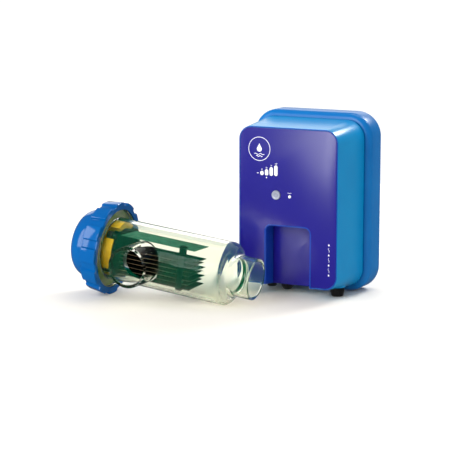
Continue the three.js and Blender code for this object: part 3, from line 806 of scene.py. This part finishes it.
def cover_hollow():
    """The room inside the cover, less the wall round the recess."""
    inside = loft(FRONT, [(SHELL_WALL + 1.6, -SHELL_WALL), (COVER_DEPTH + 1, COVER_DRAFT - SHELL_WALL)])
    recess_wall = recess_shape([(-2, SHELL_WALL), (RECESS_DEPTH + SHELL_WALL, SHELL_WALL)])
    return combined(inside, [recess_wall])


def panel_pocket():
    """The shallow pocket for the front panel, which leaves a rim round the recess."""
    pocket = loft(FRONT, flare(0, 0.5, PANEL_THICKNESS + GAP, -PANEL_INSET), steps=24)
    island = recess_shape([(-4, RECESS_BORDER), (RECESS_DEPTH, RECESS_BORDER)])
    return combined(pocket, [island])


def front_cover():
    rear = [(COVER_DEPTH - short, COVER_DRAFT - inset) for short, inset in COVER_REAR_EDGE]
    outer = loft(FRONT, [*round_edge(0, FRONT_EDGE, 0, 8), *rear], steps=24)
    body = combined(outer, [cover_hollow()])
    body = combined(body, cover_bosses(), "UNION")
    recess = recess_shape(flare(0, 1.2, RECESS_DEPTH))
    mesh = combined(body, [panel_pocket(), recess, *front_cutters(0), *underside_holes()])
    # the rims round the panel and the recess walls get a painted shade, a darker blue than the rest of the cover
    shaded_rim_faces = [face.index for face in mesh.polygons if on_rim(face.center)]
    piece = finished("front_cover_skin", mesh, UNIT, COVER_BLUE, 28)
    give_faces(piece, shaded_rim_faces, RIM_SHADE_BLUE)
    replace(piece, "control_unit", "cover_blue", "front_cover")


def front_panel():
    inset = -PANEL_INSET - GAP
    sheet = loft(FRONT, [*round_edge(0, 0.4, inset, 4), (PANEL_THICKNESS, inset)], steps=24)
    recess = recess_shape([(-2, RECESS_BORDER + GAP), (RECESS_DEPTH, RECESS_BORDER + GAP)])
    mesh = combined(sheet, [recess, *front_cutters()])
    stand_in("front_panel", "front_panel_skin", mesh, PANEL_PURPLE, "control_unit", 28)
    recess_panel()


def recess_panel():
    """The sheet at the back of the recess, down to the cover's sloping underside."""
    back = RECESS_DEPTH - GAP
    bottom = -cover_grow(RECESS_DEPTH - PANEL_THICKNESS) + GAP
    size = (RECESS_WIDTH, 2 * RECESS_HEIGHT, RECESS_RADIUS)
    sheet = loft(size, [*round_edge(back - PANEL_THICKNESS, 0.4, -1, 4), (back, -1)], (0, 0), 16)
    below = slab((-RECESS_WIDTH, 0, -2 * RECESS_HEIGHT), (RECESS_WIDTH, COVER_DEPTH, bottom), 0)
    stand_in("recess_panel", "recess_panel_skin", combined(sheet, [below]), PANEL_PURPLE, "control_unit", 28)


def screw_places():
    return [(x, z) for x in (-SCREW_X, SCREW_X) for z in (SCREW_INSET, FRONT_HEIGHT - SCREW_INSET)]


def tray_shell():
    """The hollow tray with the neck that it holds the cover by."""
    rear = COVER_DRAFT + TRAY_MARGIN
    front = COVER_DEPTH + TRAY_STEP
    inside = rear - SHELL_WALL - 2
    soft = 2
    sections = [*round_edge(front, TRAY_EDGE, rear, 10), (TRAY_BACK - soft, rear)]
    for angle in (0.52, 1.05, 1.57):
        sections.append((TRAY_BACK - soft + soft * sin(angle), rear - soft + soft * cos(angle)))
    outer = loft(FRONT, sections, steps=28)
    neck = loft(FRONT, [(COVER_DEPTH + GAP, COVER_DRAFT - 2.5), (front + 1, COVER_DRAFT - 2.5)], steps=24)
    cavity = loft(FRONT, [(COVER_DEPTH - 1, COVER_DRAFT - 5), (front + 6, COVER_DRAFT - 5),
                          (front + 12, inside), (TRAY_BACK - SHELL_WALL, inside)])
    return combined(combined(outer, [neck], "UNION"), [cavity])


def back_tray():
    half, height = BRACKET_POCKET
    top = BRACKET_LOW + height
    wall = slab((-half - 4, TRAY_BACK - 6, BRACKET_LOW - 4), (half + 4, TRAY_BACK - 1, top + 4), 0)
    body = combined(tray_shell(), [wall], "UNION")
    cutters = [slab((-half, TRAY_BACK - BRACKET_DEPTH, BRACKET_LOW), (half, TRAY_BACK + 1, top), 0.6)]
    for place in screw_places():
        cutters.append(facing(rod(5, TRAY_BACK - SCREW_POCKET_DEPTH, TRAY_BACK + 2, 40, 0.3), *place))
    for row in range(RIB_COUNT):
        z = LOWEST_RIB + row * RIB_PITCH
        low = (-RIB_HALF_LENGTH, TRAY_BACK - RIB_DEPTH, z)
        cutters.append(slab(low, (RIB_HALF_LENGTH, TRAY_BACK + 1, z + RIB_HEIGHT), 0.4))
    stand_in("back_tray", "back_tray_skin", combined(body, cutters), TRAY_BLUE, "control_unit", 28)
    tray_screws()


def tray_screws():
    """Cross-head screws in the corners of the tray's back."""
    heads = []
    for place in screw_places():
        head = rod(4.2, TRAY_BACK - 1.5, TRAY_BACK - GAP, 40)
        slots = cross_slots(TRAY_BACK - 0.8, TRAY_BACK + 1, 3, 0.5)
        heads.append(facing(combined(head, slots), *place))
    add_to(finished("tray_screws", joined(heads), UNIT, STEEL), "control_unit")


def cross_slots(start, end, reach, half_width):
    """Two crossed bars that cut the slots of a screw head."""
    bars = []
    for across, up in ((reach, half_width), (half_width, reach)):
        bars.append(slab((start, -across, -up), (end, across, up), 0))
    return bars


def wall_bracket():
    half, height = BRACKET_POCKET
    front, past = TRAY_BACK - 4, TRAY_BACK + 2
    low = BRACKET_LOW
    plate = slab((GAP - half, TRAY_BACK - 2, low + GAP), (half - GAP, TRAY_BACK, low + height - GAP), 0.4)
    cutters = []
    for x in KEYHOLES:
        cutters.append(facing(rod(4, front, past, 40, 0), x, low + 17))
        cutters.append(slab((x - 2, front, low + 17), (x + 2, past, low + 29), 0))
    cutters.append(slab((-8, front, low + 12), (8, past, low + 28), 0))
    stand_in("wall_bracket", "wall_bracket_plate", combined(plate, cutters), STEEL, "control_unit")


def lamps():
    """The four bars and the round light: lenses that stand a little proud of the panel."""
    sections = [(-0.4, -1.1), (-0.34, -0.7), (-0.2, -0.3), (0, -0.08), (0.3, 0), (8, 0)]
    for index in range(len(LAMP_HEIGHTS)):
        name = f"level_lamp_{index + 1}"
        stand_in(name, name + "_lens", lamp_shape(index, sections, 16), LAMP_WHITE, "control_unit")
    dome = [(-0.5, -1.6), (-0.46, -1.1), (-0.32, -0.5), (-0.1, -0.12), (0.2, 0), (8, 0)]
    stand_in("status_led", "status_led_lens", disc(LED_RADIUS, dome, LED_PLACE, 48), LAMP_WHITE,
             "control_unit")


def on_button():
    """The dished cap with its foot behind the panel, and the symbol on it."""
    rim = BUTTON_RADIUS
    dish = [(-0.9, 0), (-0.95, 2), (-1.15, 4), (-1.4, rim - 1.4), (-1.55, rim - 0.9), (-1.5, rim - 0.5),
            (-1.2, rim - 0.15), (-0.6, rim)]
    foot = [(5, rim), (5, rim + 1.6), (6.2, rim + 1.6), (6.2, 2.2), (8, 2.2), (8, 0)]
    stand_in("on_button", "on_button_cap", facing(turned(dish + foot, 96), *BUTTON_PLACE), SILVER,
             "on_button")
    add_to(finished("on_button_symbol", power_symbol(), UNIT, SYMBOL_GREY), "on_button")


INK_THICKNESS = 0.12
INK_FRONT = -0.06  # y of the printed marks' faces


def stroke(points, width, y=INK_FRONT, thickness=INK_THICKNESS, closed=False):
    """A printed line of even width through (x, z) points, as a very thin raised strip."""
    count = len(points)
    rings = []
    for i, point in enumerate(points):
        here = Vector(point)
        before = Vector(points[i - 1]) if closed or i else here
        after = Vector(points[(i + 1) % count]) if closed or i + 1 < count else here
        run = (after - before).normalized()
        side = Vector((-run.y, run.x)) * width / 2
        left, right = here + side, here - side
        rings.append([(left.x, y, left.y), (right.x, y, right.y),
                      (right.x, y + thickness, right.y), (left.x, y + thickness, left.y)])
    return rings_mesh(rings, closed)


def arc(centre, radius, start, end, steps=48):
    points = []
    for step in range(steps + 1):
        angle = radians(start + (end - start) * step / steps)
        points.append((centre[0] + radius * cos(angle), centre[1] + radius * sin(angle)))
    return points


def blob(outline):
    """A filled printed shape."""
    return rings_mesh([[(x, y, z) for x, z in outline] for y in (INK_FRONT, INK_FRONT + INK_THICKNESS)])


def power_symbol():
    """A ring open at its top, with a bar in the opening."""
    x, z = BUTTON_PLACE
    face, width, thickness = -1.12, 0.7, 0.5
    ring = stroke(arc((x, z), 2.7, 120, 420, 40), width, face, thickness)
    bar = stroke([(x, z + 0.6), (x, z + 3.4)], width, face, thickness)
    return joined([ring, bar])


def drop(x, z, size):
    """The outline of a water drop with its point up."""
    neck, shoulder = size * 0.3, z + size * 1.45
    point = [(x + neck, shoulder), (x, z + size * 2.1), (x - neck, shoulder)]
    return arc((x, z), size, -215, 35, 24) + point


def wave(x, z, length, height, turns, steps=32):
    """Points along a wavy line that starts at (x, z)."""
    points = []
    for step in range(steps + 1):
        share = step / steps
        points.append((x + share * length, z + height * sin(share * turns * 2 * pi)))
    return points


# Strokes of small digits in a box one wide and two high.
DIGITS = {
    "0": [[(0, 0.4), (0, 1.6), (0.5, 2), (1, 1.6), (1, 0.4), (0.5, 0), (0, 0.4)]],
    "1": [[(0.2, 1.6), (0.6, 2), (0.6, 0)]],
    "2": [[(0, 1.6), (0.5, 2), (1, 1.5), (0, 0), (1, 0)]],
    "5": [[(1, 2), (0.1, 2), (0, 1.15), (0.6, 1.25), (1, 0.7), (0.6, 0), (0, 0.2)]],
    "7": [[(0, 2), (1, 2), (0.35, 0)]],
}


def number(text, x, z, size):
    """Printed digits, centred on x, with their feet at z."""
    pitch = 1.5 * size
    left = x - (len(text) * pitch - 0.5 * size) / 2
    strokes = []
    for index, digit in enumerate(text):
        for line in DIGITS[digit]:
            points = [(left + index * pitch + px * size, z + pz * size) for px, pz in line]
            strokes.append(stroke(points, 0.28))
    return strokes


RING_PLACE = (-45.8, 200.2)
RING_RADIUS = 17.2
SCALE_LABELS = ("25", "50", "75", "100")
COLUMN_X = FRONT_WIDTH / 2 - 12.8
COLUMN_MARKS = 7
COLUMN_PITCH = 7.4
LOWEST_MARK = 22


def ring_mark():
    """A ring round a drop over two waves."""
    x, z = RING_PLACE
    ring = stroke(arc(RING_PLACE, RING_RADIUS, 0, 357, 120), 0.8, closed=True)
    shapes = [ring, blob(drop(x, z - 0.2, 4.0))]
    for row, width in enumerate((16, 10)):
        shapes.append(stroke(wave(x - width / 2, z - 7.6 - row * 3, width, 0.8, 2), 0.8))
    return shapes


def scale_marks():
    """Numbers over the bars, a dash before them, a dot below the second, a wave over the round light."""
    shapes = []
    for index, height in enumerate(LAMP_HEIGHTS):
        x = FIRST_LAMP_X + index * LAMP_PITCH
        shapes += number(SCALE_LABELS[index], x, LAMP_BOTTOM + height + 1.4, 0.9)
    shapes.append(stroke([(-49.5, LAMP_BOTTOM + 3), (-46.6, LAMP_BOTTOM + 3)], 0.9))
    shapes.append(blob(arc((FIRST_LAMP_X + LAMP_PITCH, LAMP_BOTTOM - 3), 1.0, 0, 345, 20)))
    shapes.append(stroke(wave(LED_PLACE[0] - 3, LED_PLACE[1] + 5.1, 6, 0.45, 1.5), 0.5))
    return shapes


def column_marks():
    """Drops and upright waves by turns, up the right edge."""
    shapes = []
    for index in range(COLUMN_MARKS):
        z = LOWEST_MARK + index * COLUMN_PITCH
        if index % 2 == 0:
            shapes.append(blob(drop(COLUMN_X, z, 1.1)))
        else:
            shapes.append(stroke([(COLUMN_X + a, z + b) for b, a in wave(-2.8, 0, 6.4, 0.8, 1)], 0.45))
    return shapes


def printed_marks():
    shapes = [*ring_mark(), *scale_marks(), *column_marks()]
    add_to(finished("front_marks", joined(shapes), UNIT, PRINT_WHITE), "control_unit")


def gland(name):
    """A cable gland: its nut on a body of its own, its stem in the cover and its rubber grommet."""
    opening = UNDERSIDE[name]
    x, y = opening["place"]
    hole = opening["hole"]
    top = spot_face(opening) - GAP - FLOOR_LEVEL
    mesh = gland_nut(hole, opening["nut"], opening["nose"], top)
    nut = name + "_nut"
    stand_in(nut, nut + "_cap", upright(mesh, x, y, FLOOR_LEVEL), BLACK, nut)
    stem = turned([(4.7, hole - 2), (4.7, hole), (34, hole), (34, hole - 2)], 64, True, 0.3)
    stand_in(name + "_body", name + "_stem", upright(stem, x, y, FLOOR_LEVEL), BLACK, "control_unit")
    inner = hole - 2.3
    profile = [(0.8, 0), (0.8, 1.2), (1.3, 1.8), (0.9, 3.3), (5, 3.3), (5, inner), (6, inner), (6, 0)]
    seal = turned(profile, 64, edge=0.2)
    stand_in(name + "_seal", name + "_grommet", upright(seal, x, y, FLOOR_LEVEL), RUBBER, "control_unit")


def gland_nut(hole, radius, nose, top, grooves=12):
    """A gland's nut with a domed nose and finger grooves, from the floor up."""
    profile = [(0.02, 3.9), (0.02, nose - 1.2), (1, nose), (top * 0.45, radius - 0.4), (top * 0.6, radius),
               (top - 0.6, radius), (top, radius - 0.6), (top, hole + GAP), (4.3, hole + GAP), (4.3, 3.6)]
    groove = rod(1.1, top * 0.42, top - 1.2, 20)
    grips = [moved(groove, around(radius + 0.5, 2 * pi * index / grooves)) for index in range(grooves)]
    return combined(turned(profile, 96, True, 0.5), grips)


def fuse_cap(grooves=16):
    """The fuse holder's cap: a ribbed knob with a coin slot."""
    grip = turned([(5.2, 0), (5.2, 6.2), (6, 7), (9.2, 7), (9.2, 3), (16, 3), (16, 0)], 64, edge=0.4)
    cutters = [slab((4, -0.6, -5), (6.2, 0.6, 5), 0)]
    for index in range(grooves):
        angle = 2 * pi * (index + 0.5) / grooves
        cutters.append(moved(rod(0.5, 4, 8.4, 12, 0), around(7.15, angle)))
    mesh = upright(combined(grip, cutters), *UNDERSIDE["fuse"]["place"], FLOOR_LEVEL)
    stand_in("fuse_cap", "fuse_cap_knob", mesh, BLACK, "fuse_cap")


def build_unit():
    front_cover()
    front_panel()
    back_tray()
    wall_bracket()
    lamps()
    on_button()
    printed_marks()
    gland("mains_gland")
    gland("cell_gland")
    fuse_cap()


# ---- The cell ----


def in_port(point):
    """True for a point of the housing on the side port, outside the main tube."""
    from_axis = hypot(point.y, point.z)
    return from_axis > TUBE_RADIUS + 0.4 and abs(point.x - SIDE_PORT_T) < PORT_RADIUS + 1


def cell_housing():
    outer = turned([
        (COLLAR_BACK, 0), (COLLAR_BACK, COLLAR_RADIUS), (COLLAR_FRONT, COLLAR_RADIUS),
        (COLLAR_FRONT, TUBE_RADIUS), (TUBE_END, TUBE_RADIUS), (TUBE_END + 7.5, PORT_RADIUS + 3),
        (TUBE_END + 12, PORT_RADIUS), (END_PORT_RIM, PORT_RADIUS), (END_PORT_RIM, 0),
    ], 128, edge=[0, 0.8, 0.8, 2.2, 7, 4, 4, 1, 0], edge_steps=8)
    bore = turned([
        (COLLAR_BACK - 1, 0), (COLLAR_BACK - 1, TUBE_BORE), (TUBE_END - 6, TUBE_BORE),
        (TUBE_END - 1, PORT_BORE), (END_PORT_RIM - 1, PORT_BORE), (END_PORT_RIM + 1, PORT_BORE + 2),
        (END_PORT_RIM + 1, 0),
    ], 128, edge=[0, 0, 6, 2.5, 0.8, 0, 0], edge_steps=8)
    port = turned([
        (20, 0), (20, PORT_RADIUS), (SIDE_PORT_REACH, PORT_RADIUS), (SIDE_PORT_REACH, 0),
    ], 128, edge=[0, 0, 1, 0], edge_steps=6)
    port_bore = turned([
        (18, 0), (18, PORT_BORE), (SIDE_PORT_REACH - 1, PORT_BORE), (SIDE_PORT_REACH + 1, PORT_BORE + 2),
        (SIDE_PORT_REACH + 1, 0),
    ], 128, edge=[0, 0, 0.8, 0, 0], edge_steps=4)
    sideways = at(SIDE_PORT_T, 0, 0) @ TO_SIDE
    body = combined(outer, [moved(port, sideways)], "UNION")
    mesh = combined(body, [bore, moved(port_bore, sideways)])
    clear_faces = [face.index for face in mesh.polygons if in_port(face.center)]
    piece = finished("cell_housing_shell", mesh, CELL, CLEAR_GREEN, 35)
    give_faces(piece, clear_faces, CLEAR)
    replace(piece, "cell", "clear_plastic", "cell_housing")


def nut_radius(angle):
    """Outer radius of the nut round its turn: flat-topped grip pads with soft shoulders."""
    pitch = 2 * pi / NUT_LOBES
    turn = (angle - radians(NUT_PHASE)) / pitch
    share = abs((turn + 0.5) % 1.0 - 0.5)  # 0 in the middle of a pad, 0.5 in a valley
    ramp = min(1.0, max(0.0, (share - NUT_PAD_SHARE / 2) / 0.035))
    return NUT_RADIUS - NUT_LOBE_RISE * ramp * ramp * (3 - 2 * ramp)


def nut_outline():
    """The nut's outside from front to back, with rounded edges: each row is (t, inset)."""
    back = -NUT_LENGTH
    turns = [step / 5 * pi / 2 for step in range(6)]
    rows = [(-NUT_EDGE + NUT_EDGE * cos(turn), NUT_EDGE * (1 - sin(turn))) for turn in turns]
    rows.append((back + NUT_EDGE, 0.0))
    for turn in turns[1:]:
        rows.append((back + NUT_EDGE - NUT_EDGE * sin(turn), NUT_EDGE * (1 - cos(turn))))
    return rows


def union_nut():
    angles = [2 * pi * step / NUT_STEPS for step in range(NUT_STEPS)]
    rows = []
    for t, inset in nut_outline():
        size = 1 + (1 - NUT_TAPER) * min(0, t + NUT_EDGE) / NUT_LENGTH
        rows.append((t, [(nut_radius(angle) - inset) * size for angle in angles]))
    bore = COLLAR_RADIUS + 0.5
    lip = FLANGE_BACK - GAP
    inner = [(-NUT_LENGTH, NUT_LIP_RADIUS), (lip, NUT_LIP_RADIUS), (lip, bore), (0.0, bore)]
    for t, radius in rounded_corners(inner, 0.6, 3, True):
        rows.append((t, [radius] * NUT_STEPS))
    rings = []
    for t, radii in rows:
        rings.append([(t, -r * sin(angle), r * cos(angle)) for angle, r in zip(angles, radii)])
    stand_in("union_nut", "union_nut_ring", rings_mesh(rings, True), NUT_BLUE, "union_nut", 40)


def head_cover():
    """The dome over the terminals, with what sits in its back."""
    front = FLANGE_BACK - GAP
    back = front - DOME_LENGTH
    outside = [(back, HEAD_GLAND_HOLE), (back, 30), (back + 2.2, 39), (back + 9, 47), (back + 20, 51.6),
               (front - 3, 53.6), (front, 54)]
    inside = [(front, 50.5), (back + 16, 47), (back + 6.5, 37), (back + 3, 28), (back + 3, HEAD_GLAND_HOLE)]
    edges = [0.3, 6, 5, 6, 6, 2, 0.5, 0.5, 4, 4, 3, 0.3]
    mesh = turned(outside + inside, 128, True, edges, 6)
    stand_in("head_cover", "head_cover_dome", mesh, NUT_BLUE, "electrode", 40)
    head_gland(back)
    head_screws(back)


def head_gland(back):
    profile = [(back - 2.6, 4), (back - 2.6, 9), (back - GAP, 11), (back - GAP, 8), (back + 9, 8),
               (back + 9, 4)]
    stand_in("head_gland", "head_gland_ring", turned(profile, 64, True, 0.4), BLACK, "electrode")
    seal = rod(3.7, back - 2, back + 8, edge=0.5)
    stand_in("head_gland_seal", "head_gland_grommet", seal, RUBBER, "electrode")


def head_screws(back):
    profile = [(back - 1.4, 0), (back - 1.3, 2), (back - 0.9, 3), (back - GAP, 3.2), (back - GAP, 0)]
    head = combined(turned(profile, 40), cross_slots(back - 2, back - 0.8, 2, 0.4))
    for index, mesh in enumerate(four_round(head, HEAD_SCREW_CIRCLE)):
        name = f"head_screw_{index + 1}"
        stand_in(name, name + "_head", mesh, STEEL, "electrode")


def four_round(mesh, radius):
    """Four copies of a solid about x, between the axes of a circle about x."""
    return [moved(mesh, around(radius, pi / 4 + index * pi / 2)) for index in range(4)]


def electrode_head():
    hollow = TUBE_BORE - HEAD_RIM
    profile = [(FLANGE_BACK, 0), (FLANGE_BACK, FLANGE_RADIUS), (FLANGE_FRONT, FLANGE_RADIUS),
               (FLANGE_FRONT, HEAD_RADIUS), (SKIRT_REACH, HEAD_RADIUS), (SKIRT_REACH, hollow),
               (POCKET_FLOOR, hollow), (POCKET_FLOOR, 0)]
    plug = turned(profile, 128, edge=0.7)
    pocket = rod(BOOT_POCKET_RADIUS, POCKET_FLOOR - 2, SKIRT_REACH + 2, edge=0.5)
    mesh = combined(plug, four_round(pocket, BOOT_CIRCLE))
    stand_in("electrode_head", "electrode_head_plug", mesh, YELLOW, "electrode")
    head_seal()
    terminal_boots()


def head_seal():
    back, front = SEAL_SPAN
    inner = HEAD_RADIUS + GAP
    profile = [(back, inner), (back, FLANGE_RADIUS), (front, FLANGE_RADIUS), (front, inner)]
    stand_in("head_seal", "head_seal_ring", turned(profile, 96, True, 0.7), OLIVE, "electrode")


def terminal_boots():
    rim = BOOT_RADIUS
    waist = rim - 0.5
    profile = [(-4.7, 0), (-4.7, rim), (-1, rim), (-0.6, waist), (0, waist), (0.4, rim), (4, rim),
               (5, rim - 1), (5, 2.4), (9, 2.4), (9, 0)]
    for index, mesh in enumerate(four_round(turned(profile, 48, edge=0.4), BOOT_CIRCLE)):
        name = f"terminal_boot_{index + 1}"
        stand_in(name, name + "_cap", mesh, RUBBER, "electrode")


def plate_carrier():
    """The disc that holds the plates' roots, with a neck behind it and a flat on top."""
    flat = SENSOR_PLATE_HEIGHT + 4
    back, front = SKIRT_REACH + GAP, PLATE_START - GAP
    neck = CARRIER_NECK_RADIUS
    profile = [(POCKET_FLOOR + GAP, 0), (POCKET_FLOOR + GAP, neck), (back, neck), (back, CARRIER_RADIUS),
               (front, CARRIER_RADIUS), (front, 0)]
    top = slab((SKIRT_REACH, -TUBE_BORE, flat), (PLATE_START, TUBE_BORE, TUBE_BORE + 1), 0)
    carrier = combined(turned(profile, 96, edge=0.6), [top])
    stand_in("plate_carrier", "plate_carrier_disc", carrier, DULL_BLACK, "electrode", slot="black_plastic")


def plate_sheet(height, end):
    half, thick = PLATE_WIDTH / 2, PLATE_THICKNESS / 2
    return slab((PLATE_START, -half, height - thick), (end, half, height + thick), 0.2)


def plate_heights():
    return [LOWEST_PLATE + index * PLATE_PITCH for index in range(PLATE_COUNT)]


def plates():
    for index, height in enumerate(plate_heights()):
        mesh = plate_sheet(height, PLATE_ENDS[index % 2])
        piece = finished(f"electrode_plate_{index + 1}_sheet", mesh, CELL, PLATE)
        edge_highlight_slot(piece)
        replace(piece, "electrode", "coated_titanium", f"electrode_plate_{index + 1}")
    mesh = plate_sheet(SENSOR_PLATE_HEIGHT, SENSOR_PLATE_END)
    stand_in("sensor_plate", "sensor_plate_sheet", mesh, PLATE_LIGHT, "electrode", slot="coated_titanium")


def edge_highlight_slot(piece):
    """Gives a plate's narrow edges a lighter brown: a painted highlight along them."""
    upward = (CELL.to_3x3() @ Vector((0, 0, 1))).normalized()
    edges = [face.index for face in piece.data.polygons if abs(face.normal.dot(upward)) < 0.5]
    give_faces(piece, edges, PLATE_EDGE_HIGHLIGHT)


def plate_comb():
    """A slotted strip along the plates' near edges."""
    start, end = COMB_SPAN
    half = PLATE_WIDTH / 2
    side = half + COMB_BACK
    top = SENSOR_PLATE_HEIGHT + COMB_ABOVE
    strip = slab((start, -side, LOWEST_PLATE - COMB_BELOW), (end, -side + COMB_WIDTH, top), 0.6)
    reach = PLATE_THICKNESS / 2 + GAP
    slots = []
    for height in [*plate_heights(), SENSOR_PLATE_HEIGHT]:
        slots.append(slab((start - 3, -half - GAP, height - reach), (end + 3, half, height + reach), 0))
    stand_in("plate_comb", "plate_comb_strip", combined(strip, slots), DULL_BLACK,
             "electrode", slot="black_plastic")


def build_cell():
    cell_housing()
    union_nut()
    head_cover()
    electrode_head()
    plate_carrier()
    plates()
    plate_comb()


# ---- What is carried over from the frame ----

CARRIED = {
    "cover_gasket": RUBBER, "tact_switch": BLACK, "display_board": BOARD, "power_board": BOARD,
    "heatsink": ALUMINIUM, "terminal_block": BOARD, "capacitor_left": BLACK, "capacitor_right": BLACK,
    "toroid": WINDING, "toroid_disc": STEEL, "toroid_bolt": STEEL, "mains_gland_locknut": BLACK,
    "cell_gland_locknut": BLACK, "fuse_holder": BLACK, "fuse": FUSE_GLASS,
}


def dress_carried_nodes():
    for name, material in CARRIED.items():
        node = frame["nodes"][name]
        node.data.materials.clear()
        node.data.materials.append(material)


add_camera()
add_floor()
add_lights()
build_unit()
build_cell()
dress_carried_nodes()
